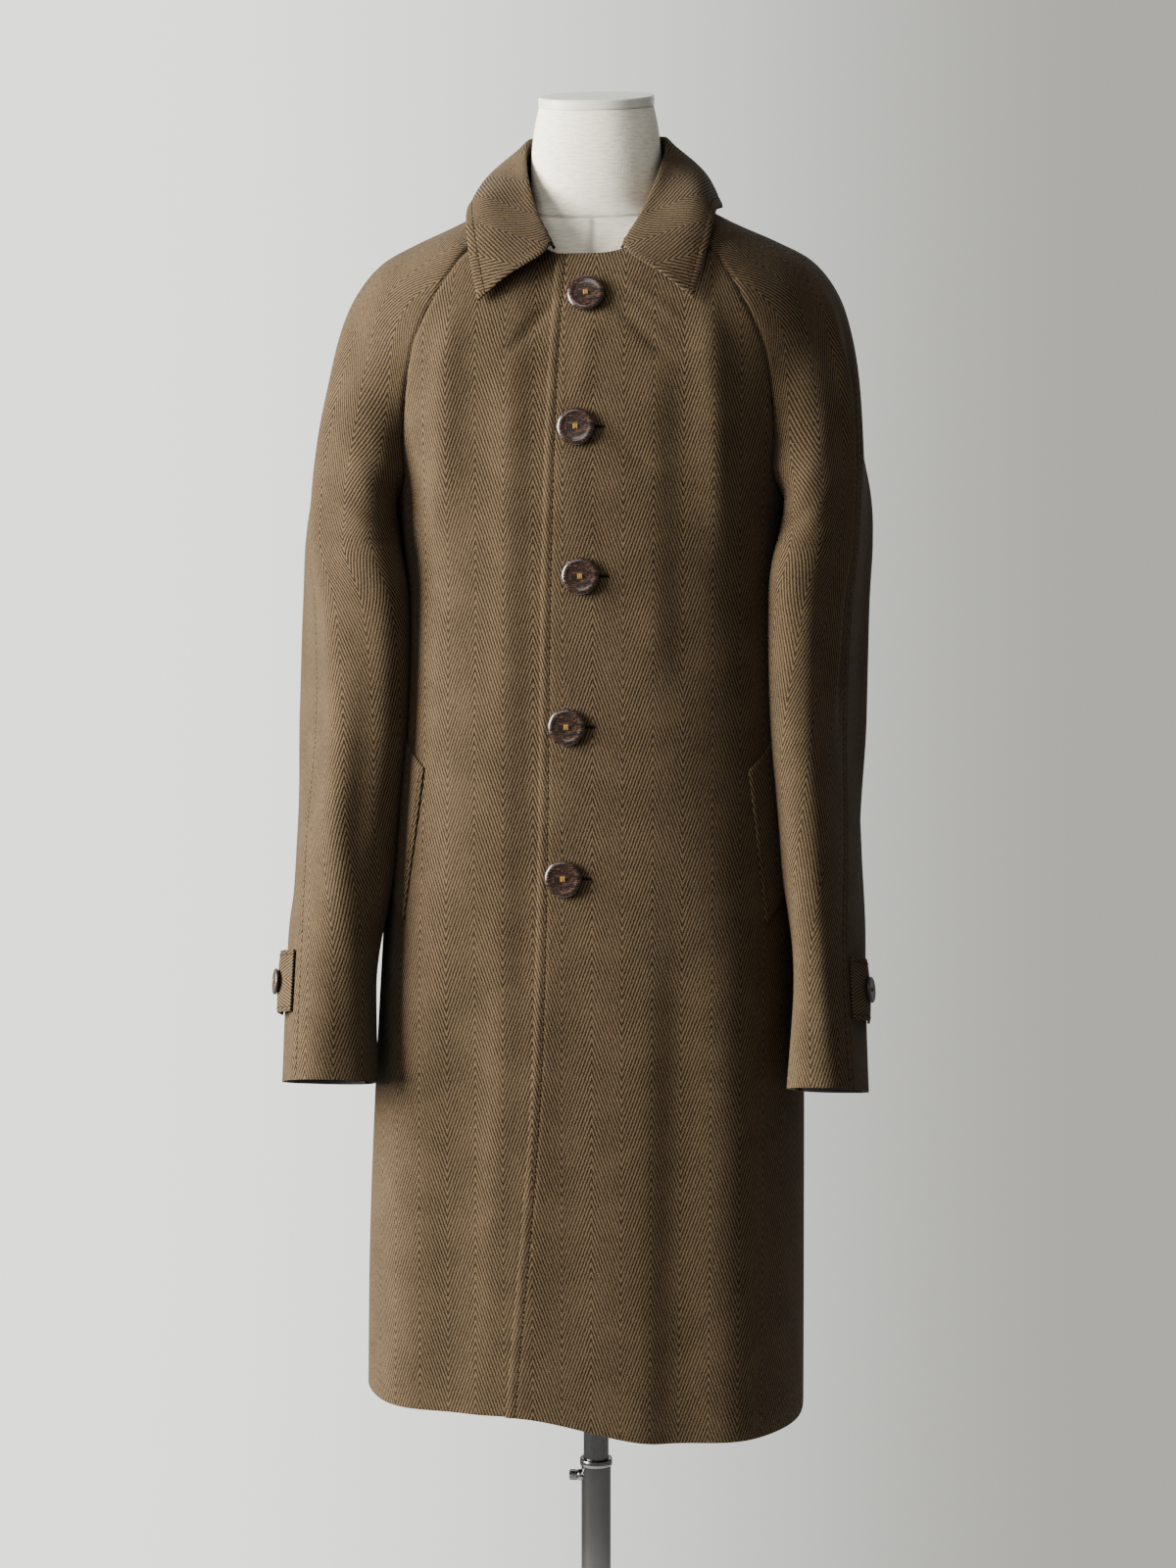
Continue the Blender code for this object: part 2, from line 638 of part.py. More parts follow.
def sleeve_half(side, half):
    """The outside of one sleeve half with its folds, seams trimmed."""
    shoulder_count = len(SHOULDER["spread"])
    last = shoulder_count + len(RINGS["z"]) - 1
    rows = np.concatenate([np.arange(shoulder_count), np.linspace(shoulder_count, last, RING_ROWS + 1)])
    count = len(rows)
    points = sleeve_points(side, half, rows, [SEAM_TRIM] * count, [None] * count, SLEEVE_COLUMNS)
    folds = SLEEVE_BACK_FOLDS
    if half == "front":
        folds = SLEEVE_LEFT_FRONT_FOLDS if side > 0 else SLEEVE_RIGHT_FRONT_FOLDS
    steps = np.linalg.norm(np.diff(points, axis=1), axis=2)
    across = np.concatenate([np.zeros((count, 1)), np.cumsum(steps, axis=1)], axis=1)
    fade = ease(across / FADE_AT_SEAM) * ease((across[:, -1:] - across) / FADE_AT_SEAM)
    out = fold_height(folds, across, points[..., 2]) * fade
    return points + grid_normals(points, sleeve_sign(side, half)) * out[..., None]


# Collar
def neck_edge(count):
    """The coat's neck edge on the wearer's left, from the back's middle to the collar's front end."""
    front = front_points(1)[-1]
    back = back_points()[-1]
    sleeve_back = sleeve_half(1, "back")[0]
    sleeve_front = sleeve_half(1, "front")[0]
    run = np.concatenate([back[BACK_COLUMNS // 2:], sleeve_back[::-1], sleeve_front, front[::-1]])
    stop = np.argmax((run[:, 1] < 0) & (run[:, 0] < COLLAR_END_X))
    run = even_spacing(run[: stop + 1], np.linspace(0.0, 1.0, count))
    for _ in range(NECK_SMOOTHING):
        run[1:-1] = (run[:-2] + 2 * run[1:-1] + run[2:]) / 4
    inward = run * [-1.0, -1.0, 0.0]
    inward /= np.linalg.norm(inward, axis=1, keepdims=True)
    return run + inward * COLLAR_INSET + np.array([0.0, 0.0, COLLAR_RISE])


def collar_points():
    """The collar's upper side: up the stand, over the roll and down the fall, from end to end."""
    half_count = COLLAR_COLUMNS // 2 + 1
    station = np.linspace(0.0, 1.0, half_count)
    base = neck_edge(half_count)
    roll, edge = (
        np.stack([smooth_table(COLLAR["station"], COLLAR[name + axis], station) for axis in "xyz"], axis=1)
        for name in ("roll_", "edge_")
    )
    outward = (edge + roll) * [1.0, 1.0, 0.0]
    outward /= np.linalg.norm(outward, axis=1, keepdims=True)
    down = np.array([0.0, 0.0, -1.0])
    stand = base + (roll - base) * STAND_SHARE
    shoulder = roll + outward * ROLL_OUT + down * ROLL_DROP
    middle = 0.5 * (shoulder + edge) + (outward - down * (1.0 - station[:, None])) * FALL_BULGE
    keys = np.stack([base, stand, roll, shoulder, middle, edge])
    mean_step = np.linalg.norm(np.diff(keys, axis=0), axis=2).mean(axis=1)
    places = np.concatenate([[0.0], np.cumsum(mean_step)])
    curves = smooth_table(places, keys, np.linspace(0.0, places[-1], 8 * COLLAR_ROWS))
    share = np.linspace(0.0, 1.0, COLLAR_ROWS + 1)
    left = np.stack([even_spacing(curves[:, column], share) for column in range(half_count)], axis=1)
    right = left[:, :0:-1] * [-1.0, 1.0, 1.0]
    return np.concatenate([right, left], axis=1)


# Pieces that lie on a panel
def welt_points(side):
    """A pocket welt on its front, lifted by its own wall."""
    z = np.linspace(WELT["z"][0], WELT["z"][-1], WELT_ROWS + 1)
    shift = smooth_table(BODY["z"], BODY["shift"], z)
    edge = body_angle(side * smooth_table(WELT["z"], WELT["x"], z) + shift, z)
    width = side * WELT_WIDTH / ANGLE_SCALE
    share = np.linspace(0.0, 1.0, WELT_COLUMNS + 1)
    angle = edge[:, None] + share * width
    folds = FRONT_LEFT_FOLDS if side > 0 else FRONT_RIGHT_FOLDS
    return front_outer(angle, z[:, None] + WELT_RISE * share, folds, PATCH_GAP + WELT_WALL)


def tab_points(side):
    """A sleeve tab on the back half of the sleeve, puckered up off it round its button."""
    rows = ring_row_at(np.linspace(TAB_HIGH_Z, TAB_LOW_Z, TAB_ROWS + 1))
    width_share = np.linspace(-1.0, 1.0, TAB_ROWS + 1)
    ends = TAB_LENGTH - TAB_POINT * width_share ** 2
    points = sleeve_points(side, "back", rows, [TAB_FROM] * len(rows), ends, TAB_COLUMNS)
    normals = grid_normals(points, sleeve_sign(side, "back"))
    run = np.linspace(0.0, 1.0, TAB_COLUMNS + 1)
    pucker = np.where(run < TAB_BUTTON_AT, run / TAB_BUTTON_AT, (1.0 - run) / (1.0 - TAB_BUTTON_AT))
    lift = TAB_GAP + WALL + TAB_PUCKER * ease(pucker) + 0.0 * width_share[:, None]
    return points + normals * lift[..., None], normals


# Making the objects
def material(name, colour, roughness, metallic=0.0):
    """A plain material of one piece."""
    made = bpy.data.materials.new(name)
    made.use_nodes = True
    shader = made.node_tree.nodes["Principled BSDF"]
    shader.inputs["Base Color"].default_value = (*colour, 1.0)
    shader.inputs["Roughness"].default_value = roughness
    shader.inputs["Metallic"].default_value = metallic
    return made


def link(name, mesh, collection, look, parent=None):
    """A named object of a mesh, with its own material."""
    made = bpy.data.objects.new(name, mesh)
    collection.objects.link(made)
    mesh.materials.append(material(name, *look))
    if parent is not None:
        made.parent = parent
        made.matrix_parent_inverse = parent.matrix_world.inverted()
    return made


def cloth_panel(name, points, wall, collection, look, parent, flip):
    """An open surface through a grid of points, with a wall on its inner side."""
    rows, columns = points.shape[:2]
    faces = []
    for row in range(rows - 1):
        for column in range(columns - 1):
            corner = row * columns + column
            face = (corner, corner + 1, corner + columns + 1, corner + columns)
            faces.append(face[::-1] if flip else face)
    mesh = bpy.data.meshes.new(name)
    mesh.from_pydata(points.reshape(-1, 3).tolist(), [], faces)
    mesh.shade_smooth()
    made = link(name, mesh, collection, look, parent)
    solidify = made.modifiers.new("wall", "SOLIDIFY")
    solidify.thickness = wall
    solidify.offset = -1.0
    return made


def turned(name, profile, steps, collection, look, parent=None, closed=False):
    """A profile of radius and height, turned about its own Z axis."""
    mesh = bpy.data.meshes.new(name)
    edges = [(index, index + 1) for index in range(len(profile) - 1)]
    if closed:
        edges.append((len(profile) - 1, 0))
    mesh.from_pydata([(radius, 0.0, height) for radius, height in profile], edges, [])
    made = link(name, mesh, collection, look, parent)
    screw = made.modifiers.new("turn", "SCREW")
    screw.steps = steps
    screw.render_steps = steps
    screw.use_merge_vertices = True
    screw.merge_threshold = 0.00001
    screw.use_smooth_shade = True
    return made


def lofted(name, rings, collection, look, parent):
    """A closed solid through a stack of rings, each with the same number of points."""
    count = len(rings[0])
    points = np.concatenate(rings)
    faces = [tuple(range(count))[::-1]]
    for ring in range(len(rings) - 1):
        for index in range(count):
            low, after = ring * count + index, ring * count + (index + 1) % count
            faces.append((low, after, after + count, low + count))
    faces.append(tuple(range((len(rings) - 1) * count, len(rings) * count)))
    mesh = bpy.data.meshes.new(name)
    mesh.from_pydata(points.tolist(), [], faces)
    mesh.shade_smooth()
    mesh.set_sharp_from_angle(angle=math.radians(40))
    return link(name, mesh, collection, look, parent)


def cylinder_cutter(name, radius, length, matrix, collection):
    """A hidden cylinder for a cut or a union."""
    mesh = bpy.data.meshes.new(name)
    shape = bmesh.new()
    bmesh.ops.create_cone(
        shape,
        cap_ends=True,
        segments=ROUND_STEPS // 2,
        radius1=radius,
        radius2=radius,
        depth=length,
        matrix=matrix,
    )
    shape.to_mesh(mesh)
    shape.free()
    made = bpy.data.objects.new(name, mesh)
    made.hide_render = True
    made.display_type = "WIRE"
    collection.objects.link(made)
    return made


def cut(target, cutter, operation):
    """A Boolean of one object with a hidden one."""
    boolean = target.modifiers.new(cutter.name, "BOOLEAN")
    boolean.object = cutter
    boolean.operation = operation


def facing_matrix(place, normal):
    """A placement with local Z along a normal."""
    turn = Vector(normal).to_track_quat("Z", "Y").to_matrix().to_4x4()
    return Matrix.Translation(Vector(place)) @ turn


def button(name, radius, place, normal, collection, parent):
    """A turned button with a raised rim and a shallow well, lying on the cloth."""
    profile = [(radius * across, radius * up) for across, up in zip(BUTTON["across"], BUTTON["up"])]
    made = turned(name, profile, BUTTON_SIDES, collection, (HORN_COLOUR, 0.25), None)
    made.matrix_world = facing_matrix(np.asarray(place) + np.asarray(normal) * BUTTON_LIFT, normal)
    if parent is not None:
        made.parent = parent
        made.matrix_parent_inverse = parent.matrix_world.inverted()
    return made


def form_ring(z, half_width, front, back, tilt):
    """One section of the dress form, tilted forward about the X axis."""
    angle = np.linspace(0.0, 2 * math.pi, FORM_SIDES, endpoint=False)
    side, ahead = rounded_box(angle, FORM_POWER)
    y = np.where(ahead < 0, ahead * front, ahead * back)
    return np.stack([-side * half_width, y, z + y * math.tan(math.radians(tilt))], axis=1)


def build_form(collection, cutters, parent):
    """The linen torso with its neck and the cap on top of it."""
    names = ("z", "half_width", "front", "back", "tilt")
    rings = [form_ring(*(FORM[name][row] for name in names)) for row in range(len(FORM["z"]))]
    torso = lofted("form_torso", rings, collection, (LINEN_COLOUR, 0.9), parent)
    socket_depth = UPPER_TUBE_HIGH + SLIDE_GAP
    place = Matrix.Translation((0.0, 0.0, socket_depth / 2))
    socket = cylinder_cutter("pole_socket", UPPER_TUBE_RADIUS + SLIDE_GAP, socket_depth, place, cutters)
    cut(torso, socket, "DIFFERENCE")
    top = {name: FORM[name][-1] for name in names}
    cap_rings = []
    cap_profile = (
        (CAP_GAP, CAP_OVERHANG),
        (CAP_THICK - CAP_ROUND, CAP_OVERHANG),
        (CAP_THICK, CAP_OVERHANG - CAP_ROUND),
    )
    for rise, grow in cap_profile:
        reach = (top[name] + grow for name in ("half_width", "front", "back"))
        cap_rings.append(form_ring(top["z"] + rise, *reach, top["tilt"]))
    lofted("neck_cap", cap_rings, collection, (CAP_COLOUR, 0.6), parent)


def build_coat(collection, parent):
    """All the cut pieces and the buttons of the coat."""
    cloth = (CLOTH_COLOUR, 0.95)
    cloth_panel("front_left", front_points(1), WALL, collection, cloth, parent, False)
    cloth_panel("front_right", front_points(-1), WALL, collection, cloth, parent, True)
    cloth_panel("back", back_points(), WALL, collection, cloth, parent, True)
    cloth_panel("collar", collar_points(), COLLAR_WALL, collection, cloth, parent, False)
    for side, word in ((1, "left"), (-1, "right")):
        for half in ("front", "back"):
            flip = sleeve_sign(side, half) < 0
            points = sleeve_half(side, half)
            cloth_panel("sleeve_" + half + "_" + word, points, WALL, collection, cloth, parent, flip)
        flip = side < 0
        cloth_panel("pocket_welt_" + word, welt_points(side), WELT_WALL, collection, cloth, parent, flip)
        points, normals = tab_points(side)
        flip = sleeve_sign(side, "back") < 0
        cloth_panel("sleeve_tab_" + word, points, WALL, collection, cloth, parent, flip)
        row, column = TAB_ROWS // 2, round(TAB_COLUMNS * TAB_BUTTON_AT)
        place, normal = points[row, column], normals[row, column]
        button("sleeve_button_" + word, SLEEVE_BUTTON_RADIUS, place, normal, collection, parent)
    for index, (x, z) in enumerate(zip(FRONT_BUTTONS["x"], FRONT_BUTTONS["z"])):
        angle, level = np.array([body_angle(x, z)]), np.array([z])
        place = front_outer(angle, level, FRONT_LEFT_FOLDS)[0]
        normal = body_normal(angle, level, "front")[0]
        button("front_button_" + str(index + 1), FRONT_BUTTON_RADIUS, place, normal, collection, parent)


def build_stand(collection, cutters, stand, pole, screw):
    """Base plate, lower tube with its screw boss, sliding upper tube and thumb screw."""
    chrome = (CHROME_COLOUR, 0.15, 1.0)
    turned("base_plate", BASE, BASE_STEPS, collection, (BASE_COLOUR, 0.35, 1.0), stand)
    bore = UPPER_TUBE_RADIUS + SLIDE_GAP
    lower_profile = (
        (bore, LOWER_TUBE_HIGH),
        (RIM_RADIUS, LOWER_TUBE_HIGH),
        (RIM_RADIUS, LOWER_TUBE_HIGH - RIM_HEIGHT),
        (LOWER_TUBE_RADIUS, LOWER_TUBE_HIGH - RIM_HEIGHT),
        (LOWER_TUBE_RADIUS, LOWER_TUBE_LOW),
        (bore, LOWER_TUBE_LOW),
    )
    lower = turned("pole_lower", lower_profile, ROUND_STEPS, collection, chrome, stand, closed=True)
    along_x = Matrix.Rotation(math.radians(90), 4, "Y")
    boss_start = 0.5 * (bore + LOWER_TUBE_RADIUS)
    boss_place = Matrix.Translation((-0.5 * (boss_start + BOSS_REACH), 0.0, BOSS_Z)) @ along_x
    boss = cylinder_cutter("screw_boss", BOSS_RADIUS, BOSS_REACH - boss_start, boss_place, cutters)
    cut(lower, boss, "UNION")
    hole_place = Matrix.Translation((-BOSS_REACH, 0.0, BOSS_Z)) @ along_x
    hole_length = 2 * (BOSS_REACH - UPPER_TUBE_RADIUS)
    hole = cylinder_cutter("screw_hole", SCREW_RADIUS + SLIDE_GAP, hole_length, hole_place, cutters)
    cut(lower, hole, "DIFFERENCE")
    upper_profile = (
        (UPPER_TUBE_RADIUS, UPPER_TUBE_HIGH),
        (UPPER_TUBE_RADIUS, UPPER_TUBE_LOW),
        (UPPER_TUBE_RADIUS - TUBE_WALL, UPPER_TUBE_LOW),
        (UPPER_TUBE_RADIUS - TUBE_WALL, UPPER_TUBE_HIGH),
    )
    turned("pole_upper", upper_profile, ROUND_STEPS, collection, chrome, pole, closed=True)
    tip = UPPER_TUBE_RADIUS + SLIDE_GAP
    head = BOSS_REACH + SLIDE_GAP
    angle = np.linspace(0.0, 2 * math.pi, 2 * KNOB_RIDGES, endpoint=False)
    ridge = np.where(np.arange(2 * KNOB_RIDGES) % 2 == 0, 1.0, KNOB_GROOVE)
    rings = []
    for place, radius, waved in (
        (tip, SCREW_RADIUS, False),
        (head, SCREW_RADIUS, False),
        (head, KNOB_RADIUS - KNOB_ROUND, True),
        (head + KNOB_ROUND, KNOB_RADIUS, True),
        (head + KNOB_LENGTH - KNOB_ROUND, KNOB_RADIUS, True),
        (head + KNOB_LENGTH, KNOB_RADIUS - KNOB_ROUND, True),
    ):
        reach = radius * (ridge if waved else 1.0)
        ring = np.stack([0.0 * angle - place, reach * np.cos(angle), BOSS_Z - reach * np.sin(angle)], axis=1)
        rings.append(ring)
    lofted("thumb_screw", rings, collection, chrome, screw)


def axis_empty(name, place, collection, parent=None):
    """An empty on a joint's axis, which its moving pieces hang from."""
    made = bpy.data.objects.new(name, None)
    collection.objects.link(made)
    made.location = place
    if parent is not None:
        made.parent = parent
        made.location = Vector(place) - parent.matrix_world.translation
    bpy.context.view_layer.update()
    return made


def main():
    for old in list(bpy.data.objects):
        bpy.data.objects.remove(old)
    scene = bpy.context.scene
    collection = bpy.data.collections.new(COLLECTION_NAME)
    cutters = bpy.data.collections.new("cutters")
    scene.collection.children.link(collection)
    scene.collection.children.link(cutters)
    stand = axis_empty("stand", (0.0, 0.0, 0.0), collection)
    pole = axis_empty("pole_slide", (0.0, 0.0, LOWER_TUBE_HIGH), collection, stand)
    garment = axis_empty("form_swivel", (0.0, 0.0, UPPER_TUBE_HIGH), collection, pole)
    screw = axis_empty("screw_turn", (-BOSS_REACH, 0.0, BOSS_Z), collection, stand)
    build_stand(collection, cutters, stand, pole, screw)
    build_form(collection, cutters, garment)
    build_coat(collection, garment)


main()
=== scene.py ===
"""Looks of a single-breasted herringbone raglan coat, buttoned on a linen dress form with a chrome stand.

The shapes repeat the solids' own tables and functions on finer grids, with the finer creases, seams,
stitching and finishes laid over them. Metres, +Z up, the front faces -Y and the wearer's left is +X.
"""
import math

import bpy
import numpy as np
from mathutils import Matrix, Vector


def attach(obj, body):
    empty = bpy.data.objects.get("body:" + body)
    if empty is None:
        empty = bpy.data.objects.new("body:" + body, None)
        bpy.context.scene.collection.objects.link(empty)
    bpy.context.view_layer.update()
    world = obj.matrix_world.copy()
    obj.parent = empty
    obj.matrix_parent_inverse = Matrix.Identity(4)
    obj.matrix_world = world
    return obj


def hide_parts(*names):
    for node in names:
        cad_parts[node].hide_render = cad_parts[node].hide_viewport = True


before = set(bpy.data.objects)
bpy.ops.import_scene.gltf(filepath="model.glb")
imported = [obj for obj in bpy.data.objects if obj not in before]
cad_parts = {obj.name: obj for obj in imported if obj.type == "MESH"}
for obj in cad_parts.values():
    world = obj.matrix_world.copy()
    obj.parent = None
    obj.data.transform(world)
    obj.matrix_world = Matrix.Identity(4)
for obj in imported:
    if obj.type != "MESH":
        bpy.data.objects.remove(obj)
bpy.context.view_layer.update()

COAT_BODY = "garment"
SIDES = {1: "left", -1: "right"}


def table(names, *rows):
    """A short table as named columns."""
    values = np.array(rows, dtype=float)
    return {name: values[:, index] for index, name in enumerate(names)}


# Cloth
WALL = 0.0020
COLLAR_WALL = 0.0022
SEAM_TRIM = 0.00010
ARMHOLE_TRIM = 0.0006
ARMHOLE_TRIM_REACH = 0.045
LAP_GAP = 0.0012
PATCH_GAP = 0.0004
FADE_AT_SEAM = 0.030
LAP_HALF = 0.052

# Levels of the coat
HEM_Z = 0.413
UNDERARM_Z = 1.150
NECK_FRONT_Z = 1.388
NECK_BACK_Z = 1.440
NECK_CURVE = 3.0

# The hem hangs higher on the wearer's right, less and less up the skirt
HEM_LIFT = 0.020
HEM_LIFT_FROM = 0.070
HEM_LIFT_RUN = 0.130
HEM_LIFT_TOP = 0.750

# Coat body: sections by height, as rounded boxes
SECTION_POWER = 2.8
ANGLE_SCALE = 0.16
NORMAL_TURN = 0.004
NORMAL_RISE = 0.002
ARC_STEPS = 24
EDGE_ON = 1e-6
BODY = table(
    ("z", "half_width", "front", "back", "shift"),
    (0.413, 0.1885, 0.1410, 0.1400, -0.008),
    (0.560, 0.1870, 0.1390, 0.1370, -0.007),
    (0.720, 0.1830, 0.1360, 0.1320, -0.004),
    (0.880, 0.1765, 0.1320, 0.1270, -0.001),
    (1.020, 0.1690, 0.1285, 0.1235, 0.000),
    (1.150, 0.1640, 0.1270, 0.1235, 0.000),
    (1.210, 0.1720, 0.1255, 0.1240, 0.000),
    (1.280, 0.1860, 0.1200, 0.1220, 0.000),
    (1.330, 0.1990, 0.1110, 0.1150, 0.000),
    (1.365, 0.2050, 0.0980, 0.1060, 0.000),
    (1.390, 0.2050, 0.0850, 0.0965, 0.000),
    (1.418, 0.2050, 0.0480, 0.0830, 0.000),
    (1.440, 0.2050, 0.0300, 0.0690, 0.000),
    (1.455, 0.2050, 0.0200, 0.0520, 0.000),
)

# Raglan seams on the front and the back, from the armhole to the neck
RAGLAN_FRONT = table(
    ("z", "x"),
    (1.206, 0.1530),
    (1.236, 0.1530),
    (1.276, 0.1500),
    (1.315, 0.1430),
    (1.347, 0.1290),
    (1.372, 0.1145),
    (1.394, 0.0970),
    (1.418, 0.0560),
)
RAGLAN_BACK = table(
    ("z", "x"),
    (1.206, 0.1530),
    (1.270, 0.1490),
    (1.330, 0.1390),
    (1.380, 0.1180),
    (1.420, 0.0860),
    (1.452, 0.0500),
)

# Front edge of the upper front, and how far the lower front runs on under it
FRONT_EDGE = table(
    ("z", "x"),
    (0.413, -0.0640),
    (0.552, -0.0526),
    (0.716, -0.0417),
    (0.878, -0.0374),
    (1.116, -0.0347),
    (1.273, -0.0305),
    (1.390, -0.0260),
)
UNDERLAP_X = 0.022
TUCK_START = 0.032
TUCK_END = 0.006

# Largest folds: a crest runs from its top place to its low place, measured round the panel
FOLD_RUN_OUT = 0.25
FOLD_COLUMNS = ("top_z", "top_at", "low_z", "low_at", "width", "height")
FRONT_LEFT_FOLDS = table(
    FOLD_COLUMNS,
    (1.370, 0.098, 1.130, 0.116, 0.014, 0.0040),
    (1.330, 0.068, 1.000, 0.082, 0.024, -0.0025),
    (0.980, 0.112, 0.150, 0.150, 0.034, 0.0055),
    (0.900, 0.082, 0.150, 0.096, 0.032, -0.0050),
)
FRONT_RIGHT_FOLDS = table(
    FOLD_COLUMNS,
    (1.370, -0.112, 1.130, -0.124, 0.014, 0.0045),
    (1.330, -0.078, 1.000, -0.088, 0.026, -0.0030),
    (0.980, -0.128, 0.150, -0.165, 0.034, 0.0055),
    (0.880, -0.092, 0.150, -0.112, 0.032, -0.0050),
)
BACK_FOLDS = table(
    FOLD_COLUMNS,
    (1.320, 0.085, 0.150, 0.130, 0.034, 0.0060),
    (1.250, 0.030, 0.150, 0.046, 0.036, -0.0060),
    (1.200, -0.026, 0.150, -0.030, 0.034, 0.0055),
    (1.320, -0.092, 0.150, -0.125, 0.036, 0.0060),
)

# Small drag lines over the lap, shared by both fronts
LAP_CREASES = table(
    FOLD_COLUMNS,
    (1.352, 0.018, 1.296, 0.072, 0.0070, -0.0016),
    (1.372, 0.022, 1.330, 0.080, 0.0065, 0.0014),
    (1.360, -0.018, 1.300, -0.066, 0.0070, -0.0014),
    (1.340, 0.004, 1.262, -0.004, 0.0100, 0.0012),
    (1.246, 0.020, 1.206, 0.060, 0.0090, -0.0010),
    (1.126, 0.018, 1.070, 0.050, 0.0100, -0.0009),
    (1.232, -0.010, 1.140, -0.002, 0.0140, 0.0012),
    (0.990, -0.006, 0.900, -0.020, 0.0160, 0.0012),
    (0.860, -0.030, 0.420, -0.046, 0.0200, 0.0022),
)

# Sleeve over the shoulder: the overarm point of each row, the heights where the row meets the seams, and
# how far the row already has the shape of the first closed ring, cut off at an angle
SHOULDER = table(
    ("out_left", "out_right", "over_y", "over_z", "front_z", "back_z", "spread", "ring_share", "ring_end"),
    (0.0700, 0.0700, 0.010, 1.4460, 1.418, 1.452, -16.0, 0.00, 95.0),
    (0.1140, 0.1140, 0.012, 1.4220, 1.394, 1.425, -18.0, 0.00, 95.0),
    (0.1515, 0.1515, 0.012, 1.4055, 1.364, 1.388, -18.0, 0.00, 95.0),
    (0.1820, 0.1820, 0.011, 1.3890, 1.338, 1.352, -16.0, 0.00, 95.0),
    (0.2025, 0.2035, 0.008, 1.3640, 1.313, 1.320, -12.0, 0.03, 98.0),
    (0.2150, 0.2180, 0.002, 1.3330, 1.287, 1.290, -4.0, 0.14, 105.0),
    (0.2245, 0.2300, -0.004, 1.2900, 1.258, 1.258, 10.0, 0.38, 116.0),
    (0.2300, 0.2425, -0.009, 1.2350, 1.224, 1.224, 22.0, 0.68, 130.0),
    (0.2310, 0.2505, -0.013, 1.1900, 1.186, 1.186, 34.0, 0.92, 152.0),
)
# Sleeve below the armhole: closed rings, turned in plan and pitched forward towards the cuff. The overarm
# seam lies ahead of the outermost point by the seam angle
RINGS = table(
    ("z", "out_left", "out_right", "mid_y", "front", "back", "turn_left", "turn_right", "pitch", "seam",
     "clear"),
    (1.150, 0.2300, 0.2540, 0.000, 0.106, 0.090, 8.0, 11.0, 0.0, 12.0, 0.0030),
    (1.095, 0.2275, 0.2555, -0.005, 0.103, 0.089, 10.0, 16.0, 3.0, 14.0, 0.0040),
    (1.000, 0.2275, 0.2580, -0.018, 0.096, 0.086, 12.0, 19.0, 7.0, 16.0, 0.0045),
    (0.900, 0.2300, 0.2615, -0.039, 0.082, 0.076, 13.0, 19.0, 11.0, 20.0, 0.0075),
    (0.800, 0.2310, 0.2620, -0.065, 0.065, 0.063, 14.0, 19.0, 13.0, 28.0, 0.0080),
    (0.702, 0.2340, 0.2600, -0.091, 0.054, 0.053, 14.0, 19.0, 13.0, 28.0, 0.0060),
)
RING_POWER = 2.8
RING_FIRST_GUESS = 0.03
RING_FIT_STEPS = 40
RING_FIT_SAMPLES = 120
RING_FIT_SHARE = 0.4
ARC_HANDLE = 0.55
RING_HANDLE = 0.95
SLEEVE_SAMPLES = 41
FINE_SAMPLES = 164
# Folds on the sleeve halves, measured round from the overarm seam
SLEEVE_LEFT_FRONT_FOLDS = table(
    FOLD_COLUMNS,
    (1.400, 0.060, 0.960, 0.038, 0.012, 0.0050),
    (1.360, 0.036, 0.980, 0.018, 0.012, -0.0050),
    (1.230, 0.124, 0.780, 0.100, 0.030, 0.0100),
)
SLEEVE_RIGHT_FRONT_FOLDS = table(
    FOLD_COLUMNS,
    (1.390, 0.052, 0.720, 0.058, 0.015, 0.0050),
    (1.300, 0.088, 0.860, 0.082, 0.018, -0.0035),
    (1.230, 0.126, 0.780, 0.102, 0.030, 0.0100),
)
SLEEVE_BACK_FOLDS = table(
    FOLD_COLUMNS,
    (1.330, 0.080, 0.900, 0.070, 0.020, 0.0050),
    (1.080, 0.120, 0.820, 0.060, 0.022, -0.0045),
)

# Collar: roll line and outer edge at stations from the back's middle to the front end
COLLAR = table(
    ("station", "roll_x", "roll_y", "roll_z", "edge_x", "edge_y", "edge_z"),
    (0.00, 0.0000, 0.0640, 1.5000, 0.0000, 0.1080, 1.4290),
    (0.22, 0.0425, 0.0450, 1.4990, 0.0790, 0.0800, 1.4370),
    (0.42, 0.0578, 0.0080, 1.4920, 0.1060, 0.0120, 1.4350),
    (0.62, 0.0550, -0.0330, 1.4620, 0.1040, -0.0560, 1.4250),
    (0.80, 0.0440, -0.0640, 1.4270, 0.0980, -0.0880, 1.3920),
    (1.00, 0.0285, -0.0880, 1.3970, 0.0880, -0.1085, 1.3490),
)
COLLAR_END_X = 0.027
COLLAR_INSET = 0.0036
COLLAR_RISE = 0.0020
NECK_SMOOTHING = 150
ROLL_OUT = 0.0100
ROLL_DROP = 0.0075
FALL_BULGE = 0.0055
STAND_SHARE = 0.70

# Pocket welts: the front long edge of each, its width, and how far its ends rise towards the side
WELT = table(
    ("z", "x"),
    (0.840, 0.1480),
    (0.968, 0.1330),
)
WELT_WIDTH = 0.031
WELT_RISE = 0.026
WELT_WALL = 0.0022

# Sleeve tabs, from the overarm seam round to the back of the sleeve
TAB_LOW_Z = 0.757
TAB_HIGH_Z = 0.807
TAB_FROM = 0.004
TAB_LENGTH = 0.075
TAB_POINT = 0.014
TAB_PUCKER = 0.006
TAB_GAP = 0.0010
TAB_BUTTON_AT = 0.375

